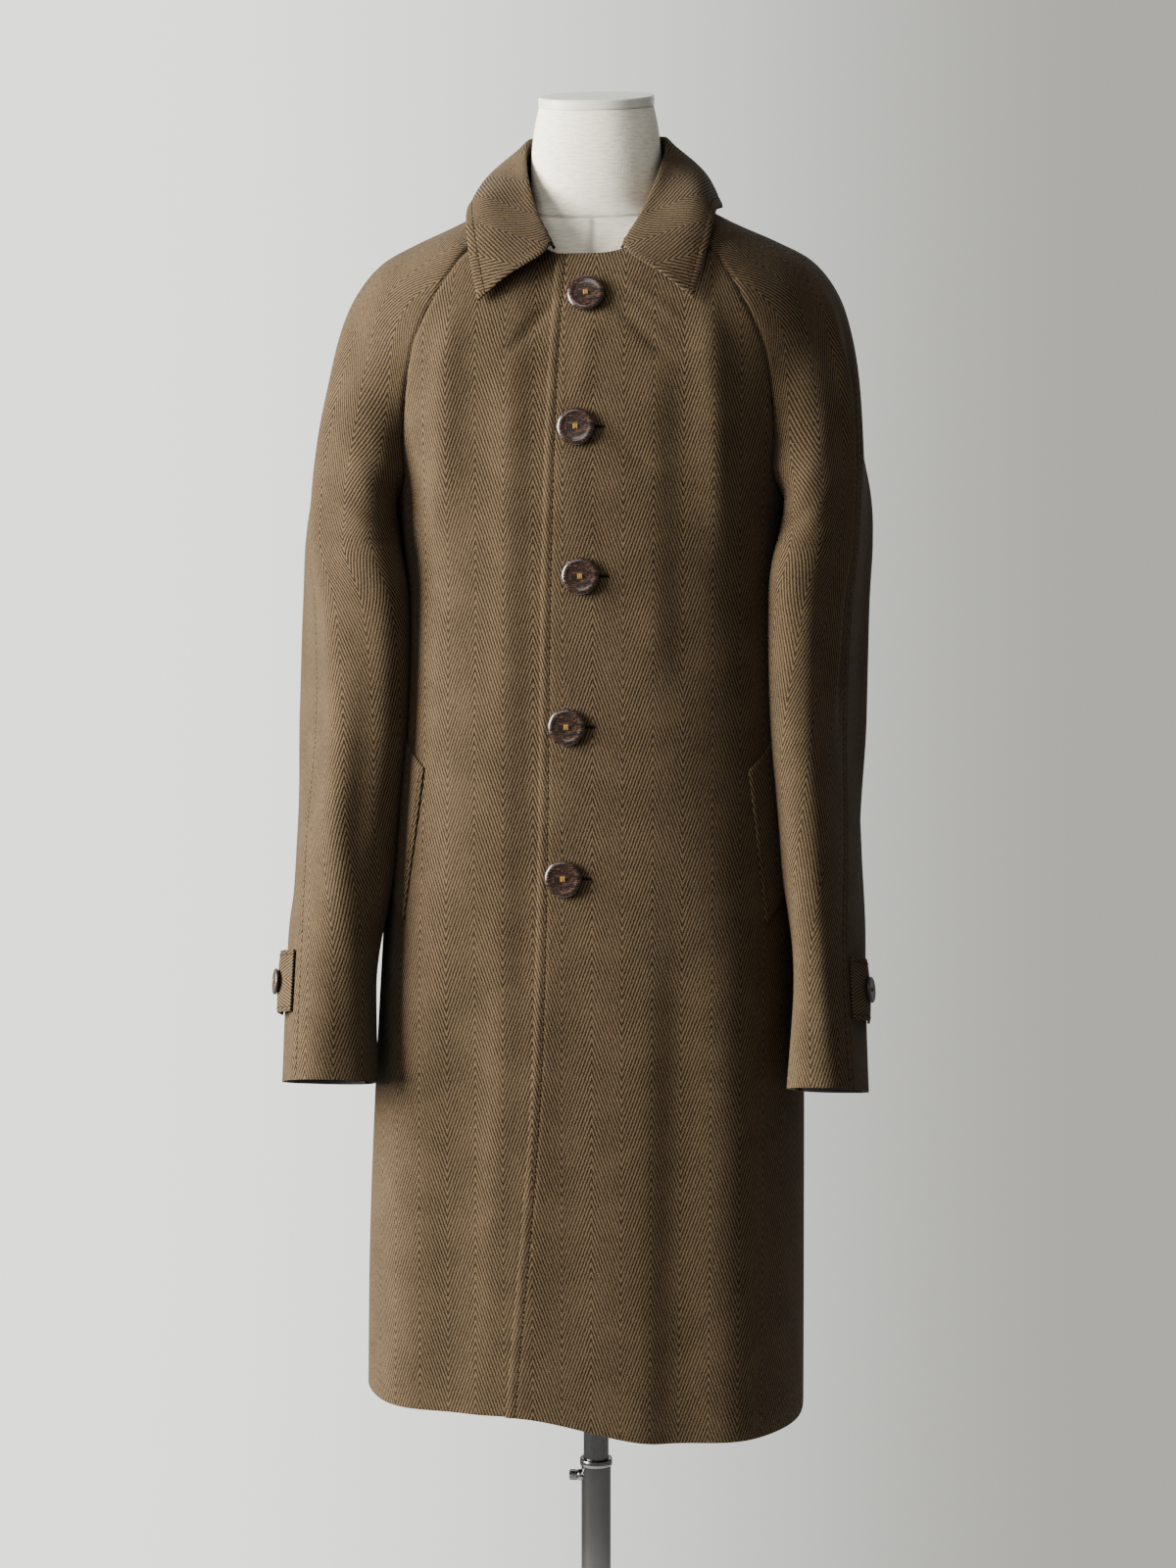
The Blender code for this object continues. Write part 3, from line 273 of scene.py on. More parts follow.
# Buttons
FRONT_BUTTONS = table(
    ("x", "z"),
    (0.0004, 1.3530),
    (-0.0060, 1.2460),
    (-0.0020, 1.1260),
    (-0.0130, 1.0040),
    (-0.0156, 0.8806),
)
FRONT_BUTTON_RADIUS = 0.0152
SLEEVE_BUTTON_RADIUS = 0.0110
# Half section of a button, as shares of its radius
BUTTON = table(
    ("across", "up"),
    (0.00, 0.235),
    (0.58, 0.250),
    (0.80, 0.290),
    (0.96, 0.23),
    (1.00, 0.135),
    (0.86, 0.00),
    (0.00, 0.00),
)
BUTTON_LIFT = 0.0008

# Dress form, with the top of its neck tilted forward
FORM_POWER = 2.3
FORM = table(
    ("z", "half_width", "front", "back", "tilt"),
    (0.745, 0.132, 0.090, 0.098, 0.0),
    (0.800, 0.148, 0.098, 0.112, 0.0),
    (0.900, 0.146, 0.096, 0.110, 0.0),
    (1.020, 0.116, 0.086, 0.088, 0.0),
    (1.150, 0.134, 0.098, 0.098, 0.0),
    (1.260, 0.146, 0.103, 0.103, 0.0),
    (1.330, 0.152, 0.088, 0.096, 0.0),
    (1.368, 0.154, 0.070, 0.082, 0.0),
    (1.388, 0.142, 0.058, 0.070, 0.0),
    (1.402, 0.116, 0.050, 0.062, 0.0),
    (1.414, 0.082, 0.046, 0.056, 0.0),
    (1.430, 0.0580, 0.0455, 0.0520, 0.0),
    (1.450, 0.0550, 0.0475, 0.0505, 4.0),
    (1.475, 0.0545, 0.0485, 0.0495, 9.0),
    (1.500, 0.0520, 0.0475, 0.0480, 12.0),
    (1.519, 0.0480, 0.0455, 0.0465, 13.0),
)
CAP_THICK = 0.0080
CAP_GAP = 0.0004
CAP_OVERHANG = 0.0006
CAP_ROUND = 0.0020

# Stand
SLIDE_GAP = 0.0004
UPPER_TUBE_RADIUS = 0.0110
UPPER_TUBE_LOW = 0.150
UPPER_TUBE_HIGH = 0.805
TUBE_WALL = 0.0015
LOWER_TUBE_RADIUS = 0.0129
LOWER_TUBE_LOW = 0.0304
LOWER_TUBE_HIGH = 0.356
RIM_RADIUS = 0.0141
RIM_HEIGHT = 0.006
BOSS_Z = 0.340
BOSS_RADIUS = 0.0050
BOSS_REACH = 0.0158
# Half section of the base plate with its hub: radius and height
BASE = (
    (0.0, 0.030),
    (0.024, 0.030),
    (0.028, 0.0264),
    (0.0314, 0.0115),
    (0.160, 0.010),
    (0.168, 0.007),
    (0.170, 0.003),
    (0.170, 0.0),
    (0.0, 0.0),
)

# Grid sizes of the panels: rows along, columns across
SKIRT_ROWS = 11
PANEL_ROWS = 132
SHOULDER_ROWS = 54
RING_ROWS = 66
FRONT_COLUMNS = 66
BACK_COLUMNS = 96
SLEEVE_COLUMNS = 44
EDGE_BAND = 0.014
EDGE_BAND_COLUMNS = 10
COLLAR_COLUMNS = 120
COLLAR_ROWS = 40
COLLAR_SAMPLES = 320
WELT_ROWS = 40
WELT_COLUMNS = 14
TAB_COLUMNS = 32
TAB_ROWS = 20

# Rough sizes of the panels, which only set how close their grid lines are
PANEL_HEIGHT = 1.0
FRONT_WIDTH = 0.28
BACK_WIDTH = 0.46
SLEEVE_HALF_WIDTH = 0.22
CUFF_TO_ARMHOLE = 0.45

# How much closer each ring of a sleeve lies to the body than that of its solid
SLEEVE_CLOSER = (0.0050, 0.0065, 0.0070, 0.0040, 0.0, 0.0)

# Seams and stitching, as they shape the cloth
SEAM_DIP = 0.0009
SEAM_ROLL = 0.0045
EDGE_DIP = 0.0009
EDGE_ROLL = 0.0035
STITCH_INSET = 0.0080
STITCH_DIP = 0.0006
STITCH_WIDTH = 0.0014


def smooth_table(keys, values, at):
    """Values between the rows of a table, on a smooth curve through them."""
    values = np.asarray(values, dtype=float)
    at = np.clip(np.asarray(at, dtype=float), keys[0], keys[-1])
    slopes = np.gradient(values, keys, axis=0)
    low = np.clip(np.searchsorted(keys, at, side="right") - 1, 0, len(keys) - 2)
    step = keys[low + 1] - keys[low]
    t = (at - keys[low]) / step
    extra = (1,) * (values.ndim - 1)
    t = t.reshape(t.shape + extra)
    step = step.reshape(step.shape + extra)
    start, end = values[low], values[low + 1]
    start_slope, end_slope = slopes[low] * step, slopes[low + 1] * step
    return (
        start * (1 + 2 * t) * (1 - t) ** 2
        + start_slope * t * (1 - t) ** 2
        + end * t * t * (3 - 2 * t)
        + end_slope * t * t * (t - 1)
    )


def ease(t):
    """0 to 1 with level ends."""
    t = np.clip(t, 0.0, 1.0)
    return t * t * (3 - 2 * t)


def unit(vectors):
    """Vectors brought to length 1."""
    return vectors / np.linalg.norm(vectors, axis=-1, keepdims=True)


def between(places, lengths, points):
    """Points at some places on a line, given the lengths or heights of the line's own points."""
    return np.stack([np.interp(places, lengths, points[:, axis]) for axis in range(3)], axis=-1)


def row_lengths(points):
    """Length along each row of a grid, from its first column."""
    steps = np.linalg.norm(np.diff(points, axis=1), axis=2)
    return np.concatenate([np.zeros((len(points), 1)), np.cumsum(steps, axis=1)], axis=1)


def column_lengths(points):
    """Length down each column of a grid, from its first row."""
    return row_lengths(points.transpose(1, 0, 2)).T


def rounded_edge(distance):
    """How far a turned edge rounds off at this distance in from it."""
    return EDGE_DIP * (1.0 - ease(distance / EDGE_ROLL))


def stitch_dip(distance):
    """How far a row of stitches pulls the cloth in, at this distance in from the edge."""
    return STITCH_DIP * np.exp(-(((distance - STITCH_INSET) / STITCH_WIDTH) ** 2))


def edge_relief(distance):
    """How far a finished, topstitched edge dips at this distance in from it."""
    return -rounded_edge(distance) - stitch_dip(distance)


def seam_relief(distance):
    """How far the cloth turns in at this distance from a seam."""
    return -SEAM_DIP * (1.0 - ease(distance / SEAM_ROLL)) ** 2


def banded_shares(columns, width, first, last):
    """Shares of a row's length, closer together in a band at its first or its last end."""
    band = np.linspace(0.0, EDGE_BAND / width, EDGE_BAND_COLUMNS + 1)
    low = band if first else np.zeros(1)
    high = 1.0 - band[::-1] if last else np.ones(1)
    middle = np.linspace(low[-1], high[0], columns + 1)
    return np.concatenate([low[:-1], middle, high[1:]])


def rounded_box(angle, power):
    """Unit rounded-box point at an angle: its sideways and its forward share."""
    side, ahead = np.sin(angle), np.cos(angle)
    reach = (np.abs(side) ** power + np.abs(ahead) ** power) ** (-1.0 / power)
    return side * reach, ahead * reach


# Coat body
def section(z, *names):
    """Named measures of the body's section at a height."""
    return [smooth_table(BODY["z"], BODY[name], z) for name in names]


def body_point(angle, z, depth_name):
    """A point of the body's surface. The angle runs from the middle of the front or back towards +X."""
    half, depth, shift = section(z, "half_width", depth_name, "shift")
    side, ahead = rounded_box(angle, SECTION_POWER)
    facing = -1.0 if depth_name == "front" else 1.0
    return np.stack([shift + half * side, facing * depth * ahead, z + 0.0 * side], axis=-1)


def body_angle(x, z):
    """The angle at which the body's section has this x."""
    half, shift = section(z, "half_width", "shift")
    share = (x - shift) / half
    size = np.clip(np.abs(share), EDGE_ON, 1.0 - EDGE_ON)
    return np.sign(share) * np.arctan2(1.0, (size ** -SECTION_POWER - 1.0) ** (1.0 / SECTION_POWER))


def body_reach(y, z, side):
    """How far out to this side the body's surface is at this depth and height."""
    half, front, back, shift = section(z, "half_width", "front", "back", "shift")
    share = np.minimum(np.abs(y) / np.where(y < 0, front, back), 1.0)
    return side * shift + half * (1.0 - share ** SECTION_POWER) ** (1.0 / SECTION_POWER)


def raglan_angle(z, seam):
    """Where the panel ends: at the side seam below the armhole, along the raglan seam above it."""
    keys = np.concatenate([[UNDERARM_Z], seam["z"]])
    angles = np.concatenate([[math.pi / 2], body_angle(seam["x"], seam["z"])])
    return smooth_table(keys, angles, z)


def arc_length(angle, z, depth_name):
    """Length round the panel from its middle line to this angle."""
    total = np.zeros_like(angle)
    last = body_point(0.0 * angle, z, depth_name)
    for step in range(1, ARC_STEPS + 1):
        point = body_point(angle * step / ARC_STEPS, z, depth_name)
        total = total + np.linalg.norm(point - last, axis=-1)
        last = point
    return total * np.sign(angle)


def body_normal(angle, z, depth_name):
    """The outward normal of the body's surface."""
    across = body_point(angle + NORMAL_TURN, z, depth_name) - body_point(angle - NORMAL_TURN, z, depth_name)
    up = body_point(angle, z + NORMAL_RISE, depth_name) - body_point(angle, z - NORMAL_RISE, depth_name)
    return unit(np.cross(across, up)) * (1.0 if depth_name == "front" else -1.0)


def fold_height(folds, across, z):
    """How far the folds of a panel stand out of it here."""
    height = np.zeros_like(across)
    for row in range(len(folds["height"])):
        run = (folds["top_z"][row] - z) / (folds["top_z"][row] - folds["low_z"][row])
        crest = folds["top_at"][row] + (folds["low_at"][row] - folds["top_at"][row]) * np.clip(run, 0, 1)
        length = ease(run / FOLD_RUN_OUT) * ease((1.0 - run) / FOLD_RUN_OUT)
        crossing = np.exp(-(((across - crest) / folds["width"][row]) ** 2))
        height = height + folds["height"][row] * length * crossing
    return height


def front_outer(angle, z, folds, lift=0.0):
    """The outside of a front, folds and all, moved out by a lift."""
    across = arc_length(angle, z, "front")
    to_seam = (raglan_angle(z, RAGLAN_FRONT) - np.abs(angle)) * ANGLE_SCALE
    fade = ease(to_seam / FADE_AT_SEAM) * ease((np.abs(across) - LAP_HALF) / FADE_AT_SEAM)
    creases = fold_height(folds, across, z) * fade + fold_height(LAP_CREASES, across, z)
    out = creases + lift + seam_relief(to_seam)
    return body_point(angle, z, "front") + body_normal(angle, z, "front") * out[..., None]


def raised_hem(angle, z, depth_name):
    """Heights of a panel's grid with the hem lifted on the wearer's right."""
    x = body_point(angle, z, depth_name)[..., 0]
    sideways = ease((HEM_LIFT_FROM - x) / HEM_LIFT_RUN)
    return z + HEM_LIFT * sideways * ease((HEM_LIFT_TOP - z) / (HEM_LIFT_TOP - HEM_Z))


def trimmed_end(seam_z, seam):
    """The angle where a panel stops short of its seam, further short where the armhole turns under."""
    away = np.abs(seam_z - UNDERARM_Z - ARMHOLE_TRIM_REACH / 2) / ARMHOLE_TRIM_REACH
    under = 1.0 - np.clip(away, 0.0, 1.0)
    return raglan_angle(seam_z, seam) - (SEAM_TRIM + ARMHOLE_TRIM * under) / ANGLE_SCALE


def panel_levels(neck_z, half):
    """Row heights of a panel at its middle and at its seam: above the armhole, those of the sleeve."""
    skirt = np.linspace(HEM_Z, UNDERARM_Z, SKIRT_ROWS + 1)
    seam = SHOULDER[half + "_z"][::-1].copy()
    seam[-1] -= SEAM_TRIM
    rise = (seam - UNDERARM_Z) / (seam[-1] - UNDERARM_Z)
    middle = UNDERARM_Z + rise * (neck_z - SEAM_TRIM - UNDERARM_Z)
    rows = np.arange(len(skirt) + len(seam))
    places = rows[-1] * banded_shares(PANEL_ROWS, PANEL_HEIGHT, True, False)
    return (smooth_table(rows, np.concatenate([skirt, level]), places) for level in (middle, seam))


def front_grid(side):
    """Angles and heights of a front's grid. Side +1 is the wearer's left, whose edge laps over."""
    middle_z, seam_z = panel_levels(NECK_FRONT_Z, "front")
    edge_x = smooth_table(FRONT_EDGE["z"], FRONT_EDGE["x"], middle_z)
    if side < 0:
        edge_x = np.full_like(middle_z, UNDERLAP_X)
    edge = body_angle(edge_x, middle_z)
    end = side * trimmed_end(seam_z, RAGLAN_FRONT)
    share = banded_shares(FRONT_COLUMNS, FRONT_WIDTH, True, True)
    angle = edge[:, None] + (end - edge)[:, None] * share
    towards_seam = np.clip(angle / end[:, None], 0.0, 1.0) ** NECK_CURVE
    z = middle_z[:, None] + (seam_z - middle_z)[:, None] * towards_seam
    return angle, raised_hem(angle, z, "front")


def front_points(side):
    """The outside of one front. The lower front is tucked in where the upper one laps over it."""
    angle, z = front_grid(side)
    if side > 0:
        points = front_outer(angle, z, FRONT_LEFT_FOLDS)
        return points + body_normal(angle, z, "front") * edge_relief(row_lengths(points))[..., None]
    edge = smooth_table(FRONT_EDGE["z"], FRONT_EDGE["x"], z)
    behind = body_point(angle, z, "front")[..., 0] - edge
    tuck = ease((behind + TUCK_START) / (TUCK_START - TUCK_END)) * (WALL + LAP_GAP)
    return front_outer(angle, z, FRONT_RIGHT_FOLDS, -tuck)


def back_points():
    """The outside of the back, one piece from side seam to side seam."""
    middle_z, seam_z = panel_levels(NECK_BACK_Z, "back")
    end = trimmed_end(seam_z, RAGLAN_BACK)
    share = 2.0 * banded_shares(BACK_COLUMNS, BACK_WIDTH, True, True) - 1.0
    angle = end[:, None] * share
    z = middle_z[:, None] + (seam_z - middle_z)[:, None] * ease(np.abs(share))
    z = raised_hem(angle, z, "back")
    across = arc_length(angle, z, "back")
    to_seam = (end[:, None] - np.abs(angle)) * ANGLE_SCALE
    out = fold_height(BACK_FOLDS, across, z) * ease(to_seam / FADE_AT_SEAM) + seam_relief(to_seam)
    return body_point(angle, z, "back") + body_normal(angle, z, "back") * out[..., None]


# Sleeves
def bezier(start, start_handle, end_handle, end, t):
    """Points of a cubic curve."""
    t = t[:, None]
    return (
        start * (1 - t) ** 3
        + 3 * start_handle * t * (1 - t) ** 2
        + 3 * end_handle * t * t * (1 - t)
        + end * t ** 3
    )


def at_shares(points, shares):
    """The same curve with its points at the given shares of its length."""
    length = row_lengths(points[None])[0]
    return between(shares * length[-1], length, points)


def seam_point(z, side, half):
    """A point of the raglan seam at this height, on the front or the back."""
    seam = RAGLAN_FRONT if half == "front" else RAGLAN_BACK
    return body_point(side * raglan_angle(z, seam), z, half)


def shoulder_row(row, side, half):
    """One row of the sleeve from its overarm point down to the raglan seam."""
    facing = -1.0 if half == "front" else 1.0
    out_name = "out_" + SIDES[side]
    out = SHOULDER[out_name][row]
    forward = np.array([0.0, facing, 0.0])
    over = np.array([side * out, SHOULDER["over_y"][row], SHOULDER["over_z"][row]])
    end = seam_point(SHOULDER[half + "_z"][row], side, half)
    depth = abs(end[1] - over[1])
    flat = np.array([over[0] - end[0], 0.0, over[2] - end[2]])
    width = np.linalg.norm(flat)
    spread = math.radians(SHOULDER["spread"][row])
    leave = flat / width * math.cos(spread) + forward * math.sin(spread)
    round_share = max(math.sin(spread), 0.0)
    ring_depth = RINGS[half][0] * RING_HANDLE
    over_handle = ARC_HANDLE * depth * (1 - round_share) + ring_depth * round_share
    end_handle = ARC_HANDLE * width * (1 - round_share) + ring_depth * round_share
    t = np.linspace(0.0, 1.0, FINE_SAMPLES)
    curve = bezier(over, over + forward * over_handle, end + leave * end_handle, end, t)
    places = np.linspace(0.0, 1.0, SLEEVE_SAMPLES)
    arch = at_shares(curve, places)
    middle, half_width = fitted_ring(0, side)
    first_angle, last_angle = math.radians(RINGS["seam"][0]), math.radians(SHOULDER["ring_end"][row])
    x, y = ring_outline(first_angle + (-facing * last_angle - first_angle) * t, 0, side, middle, half_width)
    x = x + out - RINGS[out_name][0]
    ring = at_shares(np.stack([side * x, y, over[2] + (end[2] - over[2]) * t], axis=1), places)
    return arch + (ring - arch) * SHOULDER["ring_share"][row]


def ring_row(row, side, half):
    """One half of a closed sleeve ring, from the overarm seam to the underarm seam."""
    z, mid_y = RINGS["z"][row], RINGS["mid_y"][row]
    pitch, seam = math.radians(RINGS["pitch"][row]), math.radians(RINGS["seam"][row])
    middle, half_width = fitted_ring(row, side)
    angle = np.linspace(seam, math.pi if half == "front" else -math.pi, FINE_SAMPLES)
    x, y = ring_outline(angle, row, side, middle, half_width)
    curve = np.stack([side * x, y, z - (y - mid_y) * math.tan(pitch)], axis=1)
    return at_shares(curve, np.linspace(0.0, 1.0, SLEEVE_SAMPLES))


def ring_outline(angle, row, side, middle, half_width):
    """A sleeve ring in plan, as if on the +X side. The angle runs forward from the outermost point."""
    turn = math.radians(RINGS["turn_" + SIDES[side]][row])
    ahead, outward = rounded_box(angle, RING_POWER)
    ahead = np.where(ahead > 0, ahead * RINGS["front"][row], ahead * RINGS["back"][row])
    outward = outward * half_width
    x = middle + outward * math.cos(turn) - ahead * math.sin(turn)
    return x, RINGS["mid_y"][row] - ahead * math.cos(turn) - outward * math.sin(turn)


def fitted_ring(row, side):
    """The middle and half width at which a ring reaches its outer line and stays clear of the body."""
    out = RINGS["out_" + SIDES[side]][row]
    angle = np.linspace(0.0, 2 * math.pi, RING_FIT_SAMPLES)
    middle, half_width = out, RING_FIRST_GUESS
    for _ in range(RING_FIT_STEPS):
        x, y = ring_outline(angle, row, side, middle, half_width)
        middle += out - x.max()
        gap = (x - body_reach(y, RINGS["z"][row], side)).min() + SLEEVE_CLOSER[row]
        half_width += RING_FIT_SHARE * (gap - RINGS["clear"][row])
    return middle, half_width


def sleeve_points(side, half, rows, starts, ends, shares):
    """Part of a sleeve half: rows between those of the tables, each from one place round it to another."""
    shoulder_count = len(SHOULDER["spread"])
    rings = np.array([ring_row(row, side, half) for row in range(len(RINGS["z"]))])
    keys = np.concatenate([[shoulder_row(row, side, half) for row in range(shoulder_count)], rings])
    curves = smooth_table(np.arange(len(keys)), keys, rows)
    ring_places = shoulder_count + np.arange(len(rings))
    in_rings = np.asarray(rows)[:, None, None] >= shoulder_count
    share = np.linspace(0.0, 1.0, SLEEVE_SAMPLES)[:, None]
    curves = curves + in_rings * share ** 3 * (smooth_table(ring_places, rings, rows) - curves)
    heights = np.concatenate([SHOULDER[half + "_z"], [UNDERARM_Z]])
    points = []
    for row, curve, start, end in zip(rows, curves, starts, ends):
        if row < shoulder_count:
            seam_z = smooth_table(np.arange(shoulder_count + 1), heights, row)
            curve = curve + (seam_point(seam_z, side, half) - curve[-1]) * share ** 2
        length = row_lengths(curve[None])[0, -1]
        stop = length - SEAM_TRIM if end is None else end
        points.append(at_shares(curve, (start + (stop - start) * shares) / length))
    return np.array(points)


def ring_row_at(z):
    """The row place, between the rows of the sleeve tables, of a height below the armhole."""
    rows = len(SHOULDER["spread"]) + np.arange(len(RINGS["z"]))
    return np.interp(-z, -RINGS["z"], rows)


def grid_normals(points, outward_sign):
    """Normals of a grid of points."""
    return unit(np.cross(np.gradient(points, axis=1), np.gradient(points, axis=0))) * outward_sign


def sleeve_sign(side, half):
    """Which way round a sleeve grid faces outward."""
    return side * (1.0 if half == "front" else -1.0)


def sleeve_half(side, half):
    """The outside of one sleeve half with its folds, seams trimmed."""
    shoulder_count = len(SHOULDER["spread"])
    last = shoulder_count + len(RINGS["z"]) - 1
    shoulder_rows = np.linspace(0.0, shoulder_count, SHOULDER_ROWS, endpoint=False)
    ring_shares = 1.0 - banded_shares(RING_ROWS, CUFF_TO_ARMHOLE, True, False)[::-1]
    rows = np.concatenate([shoulder_rows, shoulder_count + (last - shoulder_count) * ring_shares])
    count = len(rows)
    shares = banded_shares(SLEEVE_COLUMNS, SLEEVE_HALF_WIDTH, True, True)
    points = sleeve_points(side, half, rows, [SEAM_TRIM] * count, [None] * count, shares)
    folds = SLEEVE_BACK_FOLDS
    if half == "front":
        folds = SLEEVE_LEFT_FRONT_FOLDS if side > 0 else SLEEVE_RIGHT_FRONT_FOLDS
    across = row_lengths(points)
    to_end = across[:, -1:] - across
    fade = ease(across / FADE_AT_SEAM) * ease(to_end / FADE_AT_SEAM)
    out = fold_height(folds, across, points[..., 2]) * fade + seam_relief(across) + seam_relief(to_end)
    if half == "front":
        out = out - stitch_dip(across)
    return points + grid_normals(points, sleeve_sign(side, half)) * out[..., None]


# Collar
def neck_edge(count):
    """The coat's neck edge on the wearer's left, from the back's middle to the collar's front end."""
    front = front_points(1)[-1]
    back = back_points()[-1]
    sleeve_back = sleeve_half(1, "back")[0]
    sleeve_front = sleeve_half(1, "front")[0]
    run = np.concatenate([back[len(back) // 2:], sleeve_back[::-1], sleeve_front, front[::-1]])
    stop = np.argmax((run[:, 1] < 0) & (run[:, 0] < COLLAR_END_X))
    run = at_shares(run[: stop + 1], np.linspace(0.0, 1.0, count))
    for _ in range(NECK_SMOOTHING):
        run[1:-1] = (run[:-2] + 2 * run[1:-1] + run[2:]) / 4
    inward = unit(run * [-1.0, -1.0, 0.0])
    return run + inward * COLLAR_INSET + np.array([0.0, 0.0, COLLAR_RISE])


def collar_points():
    """The collar's upper side: up the stand, over the roll and down the fall, from end to end."""
    half_count = COLLAR_COLUMNS // 2 + 1
    station = np.linspace(0.0, 1.0, half_count)
    base = neck_edge(half_count)
    roll, edge = (
        np.stack([smooth_table(COLLAR["station"], COLLAR[name + axis], station) for axis in "xyz"], axis=1)
        for name in ("roll_", "edge_")
    )
    outward = unit((edge + roll) * [1.0, 1.0, 0.0])
    down = np.array([0.0, 0.0, -1.0])
    stand = base + (roll - base) * STAND_SHARE
    shoulder = roll + outward * ROLL_OUT + down * ROLL_DROP
    middle = 0.5 * (shoulder + edge) + (outward - down * (1.0 - station[:, None])) * FALL_BULGE
    keys = np.stack([base, stand, roll, shoulder, middle, edge])
    mean_step = np.linalg.norm(np.diff(keys, axis=0), axis=2).mean(axis=1)
    places = np.concatenate([[0.0], np.cumsum(mean_step)])
    curves = smooth_table(places, keys, np.linspace(0.0, places[-1], COLLAR_SAMPLES))
    share = np.linspace(0.0, 1.0, COLLAR_ROWS + 1)
    left = np.stack([at_shares(curves[:, column], share) for column in range(half_count)], axis=1)
    right = left[:, :0:-1] * [-1.0, 1.0, 1.0]
    points = np.concatenate([right, left], axis=1)
    fall, along = column_lengths(points), row_lengths(points)
    to_edge = np.minimum(fall[-1:] - fall, np.minimum(along, along[:, -1:] - along))
    return points + grid_normals(points, 1.0) * edge_relief(to_edge)[..., None]


# Pieces that lie on a panel
def welt_points(side):
    """A pocket welt on its front, lifted by its own wall."""
    z = np.linspace(WELT["z"][0], WELT["z"][-1], WELT_ROWS + 1)
    shift = smooth_table(BODY["z"], BODY["shift"], z)
    edge = body_angle(side * smooth_table(WELT["z"], WELT["x"], z) + shift, z)
    width = side * WELT_WIDTH / ANGLE_SCALE
    share = np.linspace(0.0, 1.0, WELT_COLUMNS + 1)
    angle = edge[:, None] + share * width
    folds = FRONT_LEFT_FOLDS if side > 0 else FRONT_RIGHT_FOLDS
    up = (z - z[0])[:, None]
    to_edge = np.minimum(np.minimum(share, 1.0 - share) * WELT_WIDTH, np.minimum(up, up[-1] - up))
    lift = PATCH_GAP + WELT_WALL - rounded_edge(to_edge)
    return front_outer(angle, z[:, None] + WELT_RISE * share, folds, lift)


def tab_points(side):
    """A sleeve tab on the back half of the sleeve, puckered up off it round its button."""
    rows = ring_row_at(np.linspace(TAB_HIGH_Z, TAB_LOW_Z, TAB_ROWS + 1))
    width_share = np.linspace(-1.0, 1.0, TAB_ROWS + 1)
    ends = TAB_LENGTH - TAB_POINT * width_share ** 2
    run = np.linspace(0.0, 1.0, TAB_COLUMNS + 1)
    points = sleeve_points(side, "back", rows, [TAB_FROM] * len(rows), ends, run)
    normals = grid_normals(points, sleeve_sign(side, "back"))
    pucker = np.where(run < TAB_BUTTON_AT, run / TAB_BUTTON_AT, (1.0 - run) / (1.0 - TAB_BUTTON_AT))
    lift = TAB_GAP + WALL + TAB_PUCKER * ease(pucker) + 0.0 * width_share[:, None]
    return points + normals * lift[..., None], normals


# Colours, linear
WOOL_DARK = (0.0095, 0.0056, 0.0024)
WOOL_LIGHT = (0.086, 0.0575, 0.0295)
WOOL_FLECK = (0.140, 0.096, 0.050)
LINING_GREY = (0.085, 0.082, 0.075)
THREAD_BROWN = (0.030, 0.018, 0.008)
# Painted shadow: the dark sheet in each buttonhole's opening, where only shade shows
SLIT_SHADOW_DARK = (0.007, 0.0045, 0.0027)
HORN_DARK = (0.0075, 0.0038, 0.0026)
HORN_STREAK = (0.082, 0.036, 0.019)
SLEEVE_HORN_DARK = (0.026, 0.016, 0.012)
SLEEVE_HORN_STREAK = (0.060, 0.040, 0.030)
GOLD_THREAD = (0.260, 0.150, 0.030)
LINEN_PALE = (0.820, 0.765, 0.630)
LINEN_SHADE = (0.560, 0.510, 0.400)
SEAM_SHADE = (0.300, 0.275, 0.225)
CAP_PALE = (0.560, 0.565, 0.480)
CHROME_GREY = (0.200, 0.198, 0.190)
STEEL_GREY = (0.300, 0.300, 0.295)
FLOOR_PALE = (0.700, 0.700, 0.690)

# Weave of the coat's cloth
HERRINGBONE_COLUMN = 0.0245
TWILL_PITCH = 0.0027
TWILL_SLANT = 0.364
FRONT_WEAVE_SHIFT = 0.0165
SLEEVE_WEAVE_SHIFT = -0.045
LINE_WANDER = 0.55
LINE_HEIGHT = 0.75
FLECK_HEIGHT = 0.35
FLECK_SHARE = 0.30

# Weave of the lining and of the form's linen, with threads in radians of their wave for each metre
LINING_THREADS = 9000.0
LINEN_THREADS = 5200.0
THREAD_WANDER = 5.0
THREAD_BEAT = 0.3
CROSSING_TONE = 0.35
SLUB_TONE = 0.65
SLUB_STRETCH = (0.15, 1.0, 1.0)

# Other finishes: how dark their darker parts are, how they are drawn out, and what dulls the metal
LINING_SHADE = 0.80
TWIST_SHADE = 0.55
DRAWN_SHADE = 0.85
GRAIN_SHADE = 0.88
SPECK_SHADE = 0.60
HORN_DRAWN = (1.0, 3.6, 1.0)
TUBE_DRAWN = (1.0, 1.0, 0.02)
BASE_DRAWN = (1.0, 0.05, 1.0)
SMUDGE_DULL = 0.16
DRAWN_DULL = 0.06
MEAN_DULL = 0.11


# Material helpers
def add_node(tree, kind, values=None, **settings):
    """A shader node with its settings, its inputs given by socket name or number, as values or as links."""
    made = tree.nodes.new(kind)
    for name, value in settings.items():
        setattr(made, name, value)
    for socket, value in (values or {}).items():
        if isinstance(value, bpy.types.NodeSocket):
            tree.links.new(value, made.inputs[socket])
        else:
            made.inputs[socket].default_value = value
    return made


def maths(tree, operation, first, second=0.0, third=0.0):
    """The result of one maths node."""
    return add_node(tree, "ShaderNodeMath", {0: first, 1: second, 2: third}, operation=operation).outputs[0]


def weighted(tree, *terms):
    """The sum of some values, each with its weight."""
    total = 0.0
    for value, weight in terms:
        total = maths(tree, "MULTIPLY_ADD", value, weight, total)
    return total


